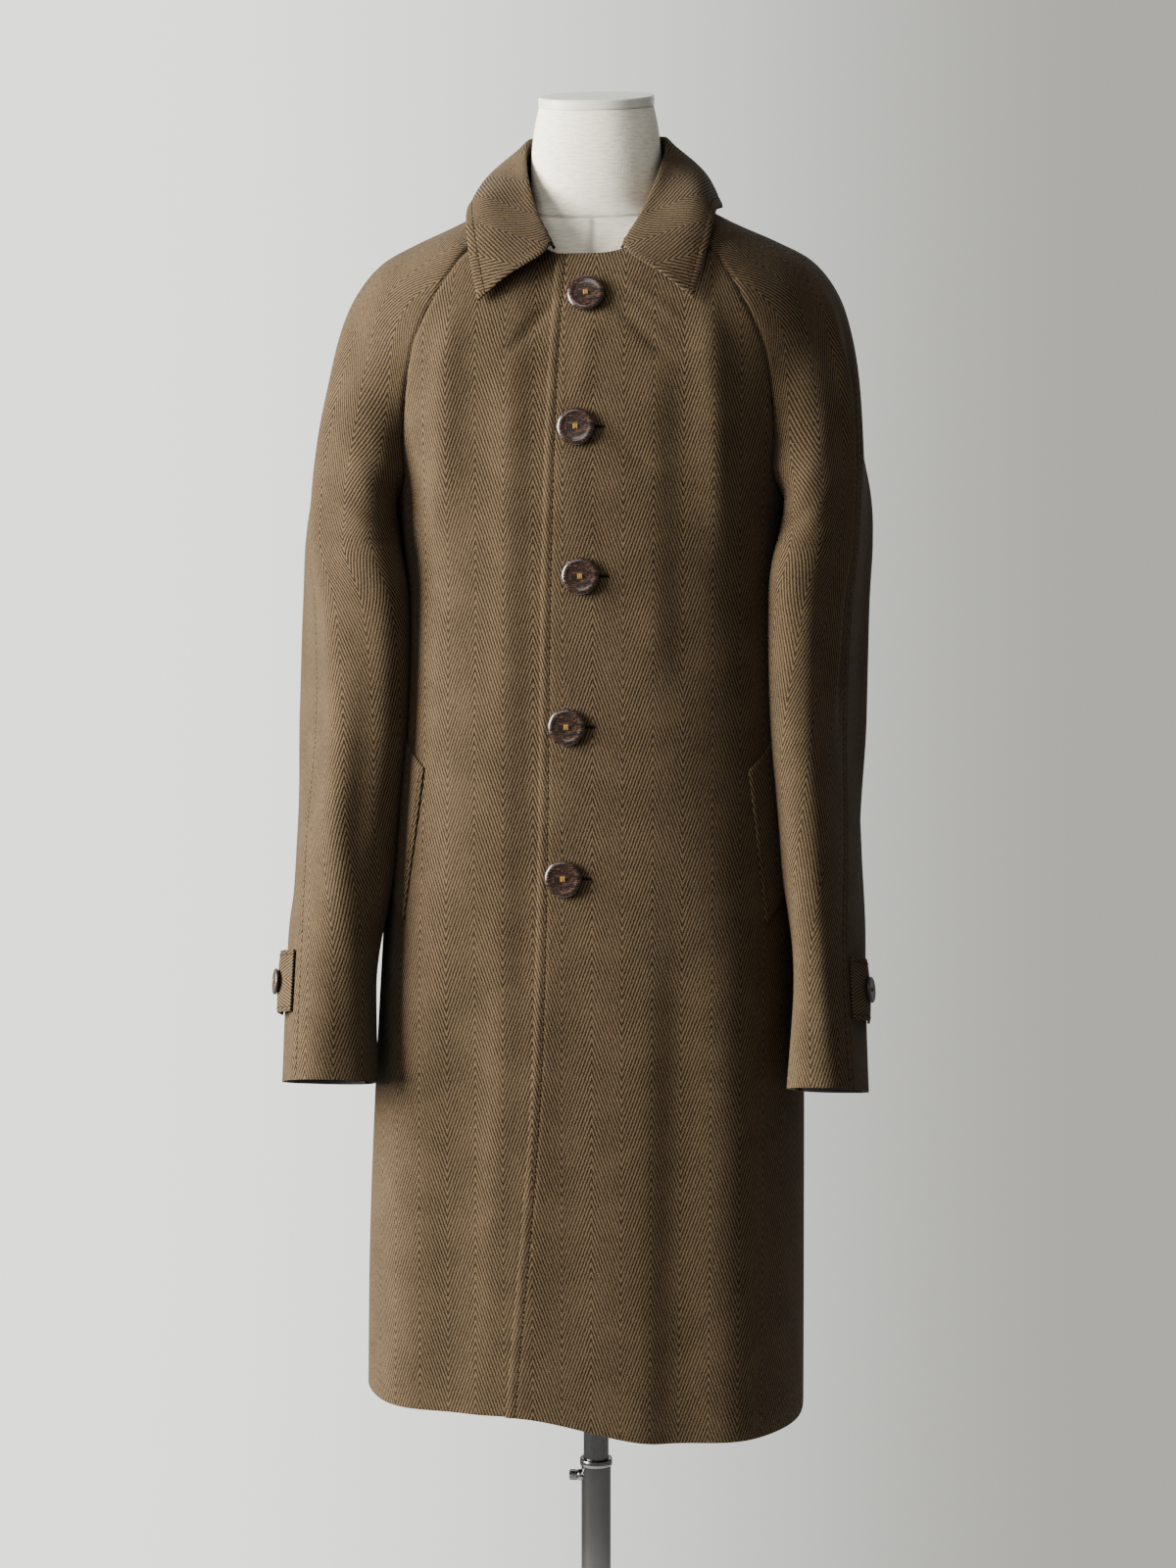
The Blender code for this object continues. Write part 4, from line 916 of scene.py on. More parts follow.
def noise(tree, vector, scale, detail=2.0, distortion=0.0):
    """A noise value at a scale, from 0 to 1."""
    values = {"Vector": vector, "Scale": scale, "Detail": detail, "Distortion": distortion}
    return add_node(tree, "ShaderNodeTexNoise", values).outputs["Fac"]


def remap(tree, value, low, high, to_low=0.0, to_high=1.0):
    """A value's range turned smoothly into another."""
    values = {"Value": value, "From Min": low, "From Max": high, "To Min": to_low, "To Max": to_high}
    return add_node(tree, "ShaderNodeMapRange", values, interpolation_type="SMOOTHSTEP").outputs["Result"]


def stretched(tree, vector, scale):
    """A place scaled along each axis."""
    return add_node(tree, "ShaderNodeMapping", {"Vector": vector, "Scale": scale}).outputs[0]


def mixed(tree, share, first, second):
    """One colour turning into another."""
    made = add_node(tree, "ShaderNodeMix", data_type="RGBA")
    for socket, value in ((made.inputs[0], share), (made.inputs[6], first), (made.inputs[7], second)):
        if isinstance(value, bpy.types.NodeSocket):
            tree.links.new(value, socket)
        else:
            socket.default_value = value if isinstance(value, float) else (*value, 1.0)
    return made.outputs[2]


def shaded(colour, share):
    """A colour made darker."""
    return tuple(share * value for value in colour)


def new_group(name, inputs, outputs):
    """An empty shader node group with named sockets, and its inner ends."""
    group = bpy.data.node_groups.new(name, "ShaderNodeTree")
    for socket, kind in inputs:
        group.interface.new_socket(name=socket, in_out="INPUT", socket_type="NodeSocket" + kind)
    for socket, kind in outputs:
        group.interface.new_socket(name=socket, in_out="OUTPUT", socket_type="NodeSocket" + kind)
    return group, group.nodes.new("NodeGroupInput"), group.nodes.new("NodeGroupOutput")


def herringbone_group():
    """Herringbone twill on a map in metres: its line, yarn flecks, slow unevenness and height."""
    group, into, out = new_group(
        "herringbone twill",
        (("Map", "Vector"), ("Column", "Float"), ("Pitch", "Float"), ("Slant", "Float")),
        (("Line", "Float"), ("Fleck", "Float"), ("Unevenness", "Float"), ("Height", "Float")),
    )
    place = into.outputs["Map"]
    parts = add_node(group, "ShaderNodeSeparateXYZ", {0: place})
    zigzag = maths(group, "PINGPONG", parts.outputs[0], into.outputs["Column"])
    rise = maths(group, "MULTIPLY", parts.outputs[1], into.outputs["Slant"])
    wander = noise(group, place, scale=420.0)
    turns = maths(group, "DIVIDE", maths(group, "SUBTRACT", zigzag, rise), into.outputs["Pitch"])
    turns = maths(group, "MULTIPLY_ADD", wander, LINE_WANDER, turns)
    wave = maths(group, "SINE", maths(group, "MULTIPLY", turns, 2.0 * math.pi))
    line = remap(group, wave, low=-0.75, high=0.65)
    fleck = remap(group, noise(group, place, scale=1500.0, detail=3.0), low=0.48, high=0.70)
    slow = noise(group, place, scale=26.0, detail=3.0)
    height = weighted(group, (line, LINE_HEIGHT), (fleck, FLECK_HEIGHT))
    for name, value in (("Line", line), ("Fleck", fleck), ("Unevenness", slow), ("Height", height)):
        group.links.new(value, out.inputs[name])
    return group


def plain_weave_group():
    """Fine crossed threads of a plain woven cloth, from a map in metres."""
    group, into, out = new_group(
        "plain weave",
        (("Map", "Vector"), ("Threads", "Float")),
        (("Tone", "Float"), ("Height", "Float")),
    )
    place, threads = into.outputs["Map"], into.outputs["Threads"]
    parts = add_node(group, "ShaderNodeSeparateXYZ", {0: place})
    wander = noise(group, place, scale=220.0)
    waves = []
    for axis, along in ((0, 1), (1, 0)):
        across = maths(group, "MULTIPLY", parts.outputs[axis], threads)
        wave = maths(group, "SINE", maths(group, "MULTIPLY_ADD", wander, THREAD_WANDER, across))
        beat = maths(group, "SINE", maths(group, "MULTIPLY", parts.outputs[along], threads))
        depth = maths(group, "MULTIPLY_ADD", beat, THREAD_BEAT, 1.0 - THREAD_BEAT)
        waves.append(maths(group, "MULTIPLY", wave, depth))
    height = remap(group, maths(group, "ADD", waves[0], waves[1]), low=-1.6, high=1.6)
    slub = noise(group, stretched(group, place, SLUB_STRETCH), scale=700.0, detail=4.0)
    slub = remap(group, slub, low=0.30, high=0.62)
    tone = weighted(group, (height, CROSSING_TONE), (slub, SLUB_TONE))
    group.links.new(tone, out.inputs["Tone"])
    group.links.new(height, out.inputs["Height"])
    return group


HERRINGBONE = herringbone_group()
PLAIN_WEAVE = plain_weave_group()


def new_material(name, roughness, **constants):
    """A material with one Principled shader, and its constant sockets set."""
    made = bpy.data.materials.new(name)
    made.use_nodes = True
    shader = made.node_tree.nodes["Principled BSDF"]
    shader.inputs["Roughness"].default_value = roughness
    for socket, value in constants.items():
        shader.inputs[socket.replace("_", " ")].default_value = value
    return made, made.node_tree, shader


def woven(tree, group, values):
    """The outputs of a weave group on a piece's own weave map."""
    place = add_node(tree, "ShaderNodeUVMap", uv_map="weave").outputs["UV"]
    return add_node(tree, "ShaderNodeGroup", {"Map": place, **values}, node_tree=group).outputs


def own_place(tree):
    """Places in the piece's own space."""
    return add_node(tree, "ShaderNodeTexCoord").outputs["Object"]


def bump(tree, shader, height, distance, strength):
    """Bump from a height value."""
    made = add_node(tree, "ShaderNodeBump", {"Height": height, "Distance": distance, "Strength": strength})
    tree.links.new(made.outputs["Normal"], shader.inputs["Normal"])


def wool_cloth():
    """Olive-brown herringbone wool with a soft nap."""
    made, tree, shader = new_material(
        "herringbone wool", roughness=0.95, Sheen_Weight=0.03, Sheen_Roughness=0.5, Specular_IOR_Level=0.1
    )
    sizes = {"Column": HERRINGBONE_COLUMN, "Pitch": TWILL_PITCH, "Slant": TWILL_SLANT}
    weave = woven(tree, HERRINGBONE, sizes)
    slow = remap(tree, weave["Unevenness"], low=0.3, high=0.7, to_low=-0.10, to_high=0.10)
    colour = mixed(tree, maths(tree, "ADD", weave["Line"], slow), WOOL_DARK, WOOL_LIGHT)
    colour = mixed(tree, maths(tree, "MULTIPLY", weave["Fleck"], FLECK_SHARE), colour, WOOL_FLECK)
    tree.links.new(colour, shader.inputs["Base Color"])
    bump(tree, shader, weave["Height"], distance=0.0006, strength=0.55)
    return made


def lining_cloth():
    """Plain grey lining on the inside of the cloth."""
    made, tree, shader = new_material("grey lining", roughness=0.55, Sheen_Weight=0.1)
    weave = woven(tree, PLAIN_WEAVE, {"Threads": LINING_THREADS})
    colour = mixed(tree, weave["Tone"], shaded(LINING_GREY, LINING_SHADE), LINING_GREY)
    tree.links.new(colour, shader.inputs["Base Color"])
    bump(tree, shader, weave["Height"], distance=0.0002, strength=0.3)
    return made


def form_linen():
    """Pale linen of the dress form, with its sewn lines darker."""
    made, tree, shader = new_material("form linen", roughness=0.88, Sheen_Weight=0.08)
    weave = woven(tree, PLAIN_WEAVE, {"Threads": LINEN_THREADS})
    colour = mixed(tree, weave["Tone"], LINEN_SHADE, LINEN_PALE)
    seam = add_node(tree, "ShaderNodeAttribute", attribute_name="seam").outputs["Fac"]
    tree.links.new(mixed(tree, seam, colour, SEAM_SHADE), shader.inputs["Base Color"])
    bump(tree, shader, weave["Height"], distance=0.0004, strength=0.35)
    return made


def thread(name, colour):
    """Twisted sewing thread, also used for the dark sheet of painted shadow in the buttonholes."""
    made, tree, shader = new_material(name, roughness=0.9, Specular_IOR_Level=0.1)
    twist = noise(tree, own_place(tree), scale=2600.0)
    tree.links.new(mixed(tree, twist, shaded(colour, TWIST_SHADE), colour), shader.inputs["Base Color"])
    bump(tree, shader, twist, distance=0.0002, strength=0.5)
    return made


def horn(name, dark, streak, roughness):
    """Mottled horn: dark, with drawn-out red-brown streaks under a polish."""
    made, tree, shader = new_material(
        name, roughness, Coat_Weight=0.35, Coat_Roughness=0.08, Specular_IOR_Level=0.35
    )
    place = own_place(tree)
    streaks = noise(tree, stretched(tree, place, HORN_DRAWN), scale=210.0, detail=4.0, distortion=1.6)
    streaks = remap(tree, streaks, low=0.48, high=0.66)
    speck = remap(tree, noise(tree, place, scale=900.0), low=0.5, high=0.75)
    share = maths(tree, "MULTIPLY", streaks, maths(tree, "MULTIPLY_ADD", speck, -SPECK_SHADE, 1.0))
    tree.links.new(mixed(tree, share, dark, streak), shader.inputs["Base Color"])
    bump(tree, shader, streaks, distance=0.0002, strength=0.25)
    return made


def polished_metal(name, colour, roughness, drawn):
    """Metal with faint drawn lines and smudges."""
    made, tree, shader = new_material(name, roughness, Metallic=1.0)
    place = own_place(tree)
    lines = noise(tree, stretched(tree, place, drawn), scale=60.0, detail=4.0)
    smudge = noise(tree, place, scale=18.0, detail=3.0)
    dull = weighted(tree, (smudge, SMUDGE_DULL), (lines, DRAWN_DULL))
    tree.links.new(maths(tree, "ADD", dull, roughness - MEAN_DULL), shader.inputs["Roughness"])
    tree.links.new(mixed(tree, lines, shaded(colour, DRAWN_SHADE), colour), shader.inputs["Base Color"])
    return made


def plain_finish(name, colour, roughness):
    """A painted or moulded surface with faint unevenness."""
    made, tree, shader = new_material(name, roughness)
    grain = noise(tree, own_place(tree), scale=240.0, detail=4.0)
    tree.links.new(mixed(tree, grain, shaded(colour, GRAIN_SHADE), colour), shader.inputs["Base Color"])
    bump(tree, shader, grain, distance=0.0003, strength=0.15)
    return made


WOOL = wool_cloth()
LINING = lining_cloth()
LINEN = form_linen()
SEWING_THREAD = thread("sewing thread", THREAD_BROWN)
BUTTON_THREAD = thread("button thread", GOLD_THREAD)
# The buttonholes' opening is a dark sheet of painted shadow
SLIT_SHADOW = thread("buttonhole shadow", SLIT_SHADOW_DARK)
FRONT_HORN = horn("front button horn", HORN_DARK, HORN_STREAK, roughness=0.26)
SLEEVE_HORN = horn("sleeve button horn", SLEEVE_HORN_DARK, SLEEVE_HORN_STREAK, roughness=0.42)
CAP_FINISH = plain_finish("neck cap", CAP_PALE, roughness=0.5)
CHROME = polished_metal("polished tube", CHROME_GREY, roughness=0.24, drawn=TUBE_DRAWN)
STEEL = polished_metal("brushed base", STEEL_GREY, roughness=0.38, drawn=BASE_DRAWN)
FLOOR = plain_finish("pale floor", FLOOR_PALE, roughness=0.8)


# Making pieces
def new_object(name, points, faces, materials):
    """A smooth mesh object."""
    mesh = bpy.data.meshes.new(name)
    mesh.from_pydata(np.asarray(points).reshape(-1, 3).tolist(), [], faces)
    mesh.shade_smooth()
    for finish in materials:
        mesh.materials.append(finish)
    made = bpy.data.objects.new(name, mesh)
    bpy.context.scene.collection.objects.link(made)
    return made


def set_weave(mesh, coordinates):
    """The map in metres that the weave follows, given for each vertex."""
    layer = mesh.uv_layers.new(name="weave")
    corners = np.empty(len(mesh.loops), dtype=np.int32)
    mesh.loops.foreach_get("vertex_index", corners)
    layer.data.foreach_set("uv", coordinates.reshape(-1, 2).astype(np.float32)[corners].ravel())


def grid_faces(rows, columns, flip, closed=False):
    """Four-sided faces of a grid, which may close on itself across its columns."""
    faces = []
    for row in range(rows - 1):
        for column in range(columns if closed else columns - 1):
            after = (column + 1) % columns
            low, high = row * columns, (row + 1) * columns
            face = (low + column, low + after, high + after, high + column)
            faces.append(face[::-1] if flip else face)
    return faces


def capped_faces(rings, sides, flip):
    """Faces of a stack of rings, with its first and its last ring filled in."""
    faces = grid_faces(rings, sides, flip, closed=True)
    first, last = tuple(range(sides)), tuple(range((rings - 1) * sides, rings * sides))
    faces.append(first if flip else first[::-1])
    faces.append(last[::-1] if flip else last)
    return faces


def joined(shapes):
    """Several sets of points and faces as one."""
    points, faces, start = [], [], 0
    for some, shape in shapes:
        faces.extend(tuple(start + corner for corner in face) for face in shape)
        points.append(some)
        start += len(some)
    return np.concatenate(points), faces


def own_weave(points, shift=0.0):
    """A weave map along the rows and down the columns of a grid."""
    return np.stack([row_lengths(points) + shift, -column_lengths(points)], axis=-1)


def body_weave(points, shift):
    """A weave map that hangs straight down the body."""
    turn = np.arctan2(points[..., 0], np.abs(points[..., 1]))
    flat = row_lengths(points)
    middle = np.argmin(np.abs(turn), axis=1)[:, None]
    across = flat - np.take_along_axis(flat, middle, axis=1)
    centre = np.take_along_axis(points[..., 0], middle, axis=1)
    facing = np.sign(points[:, -1:, 0] - points[:, :1, 0])
    return np.stack([across * facing + centre + shift, points[..., 2]], axis=-1)


def flat_size(points):
    """Width, length and area of a panel laid flat."""
    across, down = points[:, 1:] - points[:, :-1], points[1:] - points[:-1]
    area = np.linalg.norm(np.cross(across[:-1], down[:, :-1]), axis=-1).sum()
    width, length = row_lengths(points).max(), column_lengths(points).max()
    return float(width), float(length), float(min(area, width * length))


# Cut pieces. The seam allowance runs on and in from the seam by these, column by column
ALLOWANCE = ((0.0004, 0.0016), (0.0022, 0.0034), (0.0070, 0.0052))
RIM_ROUND = 0.0006
RIM_ANGLE = 50.0
SHEETS = {}


def with_allowance(points, normals):
    """A panel's grid carried on at its last column, turned in under the seam beside it."""
    ahead = unit(points[:, -1] - points[:, -2])
    columns = [points]
    for onward, inward in ALLOWANCE:
        columns.append((points[:, -1] + ahead * onward - normals[:, -1] * inward)[:, None])
    return np.concatenate(columns, axis=1)


def cloth_piece(node, points, weave, wall, flip, rests_on):
    """A cut piece of the coat as a thin shell, which stands for its solid."""
    rows, columns = points.shape[:2]
    made = new_object("wool_" + node, points, grid_faces(rows, columns, flip), (WOOL, LINING))
    set_weave(made.data, weave)
    solidify = made.modifiers.new("wall", "SOLIDIFY")
    solidify.thickness = wall
    solidify.offset = -1.0
    solidify.material_offset = 1
    bevel = made.modifiers.new("rim", "BEVEL")
    bevel.width = RIM_ROUND
    bevel.segments = 2
    bevel.limit_method = "ANGLE"
    bevel.angle_limit = math.radians(RIM_ANGLE)
    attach(made, COAT_BODY)
    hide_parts(node)
    SHEETS[node] = (made, flat_size(points), rests_on, [])


def goes_with(made, node):
    """A small piece that belongs to a cut piece and goes where it goes."""
    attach(made, COAT_BODY)
    SHEETS[node][-1].append(made)


# Stitching
STITCH_LENGTH = 0.0030
STITCH_SPACING = 0.0042
STITCH_RADIUS = 0.00042
STITCH_RAISED = 0.5
STITCH_SUNK = 0.00010
STITCH_SIDES = 6
STITCH_BEADS = ((-0.5, 0.35), (-0.42, 0.8), (0.0, 1.0), (0.42, 0.8), (0.5, 0.35))
NARROW_INSET = STITCH_INSET / 2


def line_along(points, normals, distance):
    """The line at a distance in from the first column of a grid, with its normals."""
    lengths = row_lengths(points)
    return tuple(
        np.array([between(distance, length, row) for length, row in zip(lengths, rows)])
        for rows in (points, normals)
    )


def stitch_row(line, facing):
    """Thread stitches along a line, as one set of points and faces."""
    length = row_lengths(line[None])[0]
    count = int(length[-1] / STITCH_SPACING)
    places = (np.arange(count) + 0.5) * STITCH_SPACING
    middle = between(places, length, line)
    after, before = (between(places + share * STITCH_SPACING, length, line) for share in (0.25, -0.25))
    ahead = unit(after - before)
    up = between(places, length, facing)
    up = unit(up - ahead * (up * ahead).sum(axis=1, keepdims=True))
    aside = np.cross(ahead, up)
    angle = np.linspace(0.0, 2 * math.pi, STITCH_SIDES, endpoint=False)[:, None]
    ring = aside[:, None] * np.cos(angle) + up[:, None] * np.sin(angle)
    rings = []
    for along, size in STITCH_BEADS:
        radius = STITCH_RADIUS * size
        centre = middle + ahead * (along * STITCH_LENGTH) + up * (radius * STITCH_RAISED - STITCH_SUNK)
        rings.append(centre[:, None] + ring * radius)
    stitches = np.stack(rings, axis=1).reshape(count, -1, 3)
    shape = capped_faces(len(STITCH_BEADS), STITCH_SIDES, True)
    return joined((stitch, shape) for stitch in stitches)


def stitching(name, lines, node):
    """Rows of stitches on a cut piece, joined into one piece."""
    points, faces = joined(stitch_row(line, facing) for line, facing in lines)
    goes_with(new_object("stitches_" + name, points, faces, (SEWING_THREAD,)), node)


# The coat
def make_fronts():
    """Both fronts and the topstitching of the upper one."""
    panels = {}
    for side, word in SIDES.items():
        points = front_points(side)
        panels[word] = with_allowance(points, grid_normals(points, side))
        weave = body_weave(panels[word], FRONT_WEAVE_SHIFT)
        cloth_piece("front_" + word, panels[word], weave, WALL, side < 0, "form_torso")
    edge = line_along(panels["left"], grid_normals(panels["left"], 1.0), STITCH_INSET)
    stitching("front_edge", [edge], "front_left")


def make_welts():
    """The pocket welts with their stitched front edges."""
    for side, word in SIDES.items():
        node = "pocket_welt_" + word
        points = welt_points(side)
        cloth_piece(node, points, own_weave(points), WELT_WALL, side < 0, "front_" + word)
        stitching(node, [line_along(points, grid_normals(points, side), NARROW_INSET)], node)


def make_back():
    """The back in one piece."""
    points = back_points()
    cloth_piece("back", points, body_weave(points, 0.0), WALL, True, "form_torso")


def make_sleeve(side, word):
    """Both halves of a sleeve, with the stitched overarm seam."""
    for half in ("front", "back"):
        sign = sleeve_sign(side, half)
        points = sleeve_half(side, half)
        points = with_allowance(points, grid_normals(points, sign))
        node = "sleeve_" + half + "_" + word
        cloth_piece(node, points, own_weave(points, SLEEVE_WEAVE_SHIFT), WALL, sign < 0, "form_torso")
        if half == "front":
            stitching(node, [line_along(points, grid_normals(points, sign), STITCH_INSET)], node)


def make_tab(side, word):
    """A sleeve tab, stitched along both long edges, and its button."""
    node = "sleeve_tab_" + word
    points, normals = tab_points(side)
    weave = own_weave(points)[..., ::-1]
    cloth_piece(node, points, weave, WALL, sleeve_sign(side, "back") < 0, "sleeve_back_" + word)
    turned, turned_normals = points.transpose(1, 0, 2), normals.transpose(1, 0, 2)
    edges = [
        line_along(turned, turned_normals, NARROW_INSET),
        line_along(turned[:, ::-1], turned_normals[:, ::-1], NARROW_INSET),
    ]
    stitching(node, edges, node)
    middle = (TAB_ROWS // 2, round(TAB_COLUMNS * TAB_BUTTON_AT))
    make_button("sleeve_button_" + word, SLEEVE_BUTTON_RADIUS, points[middle], normals[middle], SLEEVE_HORN)


def make_collar():
    """The collar with its stitched edge. Its weave runs on the bias, the same on both leaves."""
    points = collar_points()
    fall = column_lengths(points)
    along = np.broadcast_to(row_lengths(points)[len(points) // 2], fall.shape)
    from_back = np.abs(along - along[:, along.shape[1] // 2:][:, :1])
    weave = np.stack([from_back + fall, from_back - fall], axis=-1) * math.sqrt(0.5)
    cloth_piece("collar", points, weave, COLLAR_WALL, False, "form_torso")
    inwards = points.transpose(1, 0, 2)[:, ::-1]
    normals = grid_normals(points, 1.0).transpose(1, 0, 2)[:, ::-1]
    stitching("collar", [line_along(inwards, normals, STITCH_INSET)], "collar")


# Cloth turned in behind the armhole seams
STRIP_LOW = 1.120
STRIP_HIGH = 1.330
STRIP_LEVELS = 44
STRIP_REACH = (-5.0, -1.0, 0.0, 1.0, 2.0, 6.0)
STRIP_INWARD = 0.0024
STRIP_LEAST = 0.0015
NO_GAP = 1e-6


def edge_at(line, levels):
    """Places on an edge at given heights."""
    line = line[np.argsort(line[:, 2])]
    return between(levels, line[:, 2], line)


def make_armhole_strips():
    """The turned-in cloth behind each armhole seam, from the body's edge to the sleeve's."""
    levels = np.linspace(STRIP_LOW, STRIP_HIGH, STRIP_LEVELS)
    back = back_points()
    faces = grid_faces(STRIP_LEVELS, len(STRIP_REACH), False)
    for side, word in SIDES.items():
        panels = {"front": front_points(side)[:, -1], "back": back[:, -1] if side > 0 else back[:, 0]}
        for half, panel in panels.items():
            body, sleeve = edge_at(panel, levels), edge_at(sleeve_half(side, half)[:, -1], levels)
            across = sleeve - body
            length = np.linalg.norm(across, axis=1, keepdims=True)
            step = across / np.maximum(length, NO_GAP) * np.maximum(length, STRIP_LEAST)
            inward = unit(-body * [1.0, 1.0, 0.0]) * STRIP_INWARD
            points = np.stack([body + step * reach + inward for reach in STRIP_REACH], axis=1)
            made = new_object("armhole_strip_" + half + "_" + word, points, faces, (WOOL,))
            set_weave(made.data, own_weave(points))
            goes_with(made, "sleeve_" + half + "_" + word)


# Buttons and buttonholes
BUTTON_STEPS = 64
BUTTON_ROUNDS = 6
BUTTON_MIDDLE = 0.0005
THREAD_BARS = ((-0.085, 0.0), (0.0, 0.012), (0.085, -0.008))
THREAD_BAR_LENGTH = 0.30
THREAD_BAR_RADIUS = 0.050
THREAD_BAR_SIDES = 10
THREAD_BAR_BEADS = (
    (0.0, 0.25), (0.05, 0.7), (0.18, 0.95), (0.5, 1.0), (0.82, 0.95), (0.95, 0.7), (1.0, 0.25)
)
THREAD_BAR_HUMP = 1.2
THREAD_BAR_FALL = 2.0
# The buttonhole's slit is a dark sheet of painted shadow, with stitched lips round it
SLIT_LENGTH = 0.0085
SLIT_START = 0.0150
SLIT_WIDTH = 0.0012
SLIT_LIFT = 0.0003
SLIT_POINTS = 14
SLIT_ROUND = 4
LIP_ROUND = 6


def turned_points(profile, steps):
    """Rings of a profile of radius and height, turned about Z."""
    angle = np.linspace(0.0, 2 * math.pi, steps, endpoint=False)
    radius, height = np.asarray(profile, dtype=float).T
    x, y = radius[:, None] * np.cos(angle), radius[:, None] * np.sin(angle)
    return np.stack([x, y, height[:, None] + 0.0 * x], axis=-1)


def turned_piece(name, profile, steps, finish, node, body, matrix=None):
    """A turned piece, from a profile that runs from its top to its underside."""
    faces = grid_faces(len(profile), steps, True, closed=True)
    made = new_object(name, turned_points(profile, steps), faces, (finish,))
    made.data.set_sharp_from_angle(angle=math.radians(RIM_ANGLE))
    if matrix is not None:
        made.matrix_world = matrix
    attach(made, body)
    if node:
        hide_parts(node)


def facing_matrix(place, normal):
    """A placement with local Z along a normal."""
    turn = Vector(normal).to_track_quat("Z", "Y").to_matrix().to_4x4()
    return Matrix.Translation(Vector(place)) @ turn


def thread_bar(start, end, radius):
    """A round-ended bar of thread along a short line, humped in its middle."""
    angle = np.linspace(0.0, 2 * math.pi, THREAD_BAR_SIDES, endpoint=False)
    ahead = end - start
    aside = np.array([ahead[1], -ahead[0], 0.0]) / np.linalg.norm(ahead)
    up = np.array([0.0, 0.0, 1.0])
    ring = np.outer(np.cos(angle), aside) + np.outer(np.sin(angle), up)
    rings = []
    for share, size in THREAD_BAR_BEADS:
        hump = radius * (THREAD_BAR_HUMP - THREAD_BAR_FALL * (share - 0.5) ** 2)
        rings.append(start + ahead * share + up * hump + ring * radius * size)
    return np.concatenate(rings), capped_faces(len(rings), THREAD_BAR_SIDES, False)


def make_button(node, radius, place, normal, finish):
    """A button with a rounded rim and a shallow well, sewn through with thread."""
    keys = np.arange(len(BUTTON["across"]))
    places = np.linspace(0.0, keys[-1], keys[-1] * BUTTON_ROUNDS + 1)
    profile = np.stack([smooth_table(keys, BUTTON[name], places) for name in ("across", "up")], axis=1)
    profile[:, 0] = np.clip(profile[:, 0], BUTTON_MIDDLE, 1.0)
    matrix = facing_matrix(place + normal * BUTTON_LIFT, normal)
    turned_piece("horn_" + node, profile * radius, BUTTON_STEPS, finish, node, COAT_BODY, matrix)
    well, half = BUTTON["up"][0], THREAD_BAR_LENGTH / 2
    bars = []
    for across, lean in THREAD_BARS:
        start, end = np.array([(across - lean, -half, well), (across + lean, half, well)]) * radius
        bars.append(thread_bar(start, end, THREAD_BAR_RADIUS * radius))
    points, faces = joined(bars)
    made = new_object("thread_" + node, points, faces, (BUTTON_THREAD,))
    made.matrix_world = matrix
    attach(made, COAT_BODY)


def on_upper_front(x, z, lift=0.0):
    """Places on the upper front and their normals."""
    angle = body_angle(x, z)
    return front_outer(angle, z, FRONT_LEFT_FOLDS, lift), body_normal(angle, z, "front")


def make_front_buttons():
    """The front buttons, and the end of each buttonhole that shows beside its button, its opening a dark
    sheet of painted shadow.
    """
    lips, slit_shadows = [], []
    run = np.linspace(0.0, 1.0, SLIT_POINTS)
    slit_half = SLIT_WIDTH * np.sqrt(1.0 - run ** SLIT_ROUND)[:, None] * [0.0, 0.0, 1.0]
    lip_half = SLIT_WIDTH * np.sqrt(1.0 - run ** LIP_ROUND)
    for index, (x, z) in enumerate(zip(FRONT_BUTTONS["x"], FRONT_BUTTONS["z"])):
        places, normals = on_upper_front(np.array([x]), np.array([z]))
        node = "front_button_" + str(index + 1)
        make_button(node, FRONT_BUTTON_RADIUS, places[0], normals[0], FRONT_HORN)
        if index == 0:
            continue
        slit_x = x + SLIT_START + SLIT_LENGTH * run
        for lip_z in (z - lip_half, z + lip_half):
            lips.append(on_upper_front(slit_x, lip_z))
        # A thin dark sheet along each buttonhole's middle is its painted shadow
        middle, _ = on_upper_front(slit_x, np.full_like(slit_x, z), SLIT_LIFT)
        slit = np.concatenate([middle - slit_half, middle + slit_half])
        slit_shadows.append((slit, grid_faces(2, SLIT_POINTS, False)))
    stitching("buttonholes", lips, "front_left")
    points, faces = joined(slit_shadows)
    goes_with(new_object("buttonhole_slit_shadows", points, faces, (SLIT_SHADOW,)), "front_left")


# The dress form
FORM_SIDES = 128
FORM_LEVELS = 60
NECK_LEVELS = 110
NECK_FROM = 1.405
NECK_SEAM_FRONT = 1.4215
NECK_SEAM_BACK = 1.4500
FORM_SEAM_WIDTH = 0.0010
FORM_SEAM_DIP = 0.0007
FORM_SEAM_TONE = 0.75
CAP_ROUND_STEPS = 8
CAP_MIDDLE = 0.004


def form_piece(name, points, finish, node):
    """A closed piece of the form, from rings of points."""
    made = new_object(name, points, capped_faces(len(points), FORM_SIDES, False), (finish,))
    made.data.set_sharp_from_angle(angle=math.radians(RIM_ANGLE))
    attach(made, COAT_BODY)
    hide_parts(node)
    return made


def form_outline():
    """The form's section as shares: sideways, and back from its middle."""
    return rounded_box(np.linspace(0.0, 2 * math.pi, FORM_SIDES, endpoint=False), FORM_POWER)


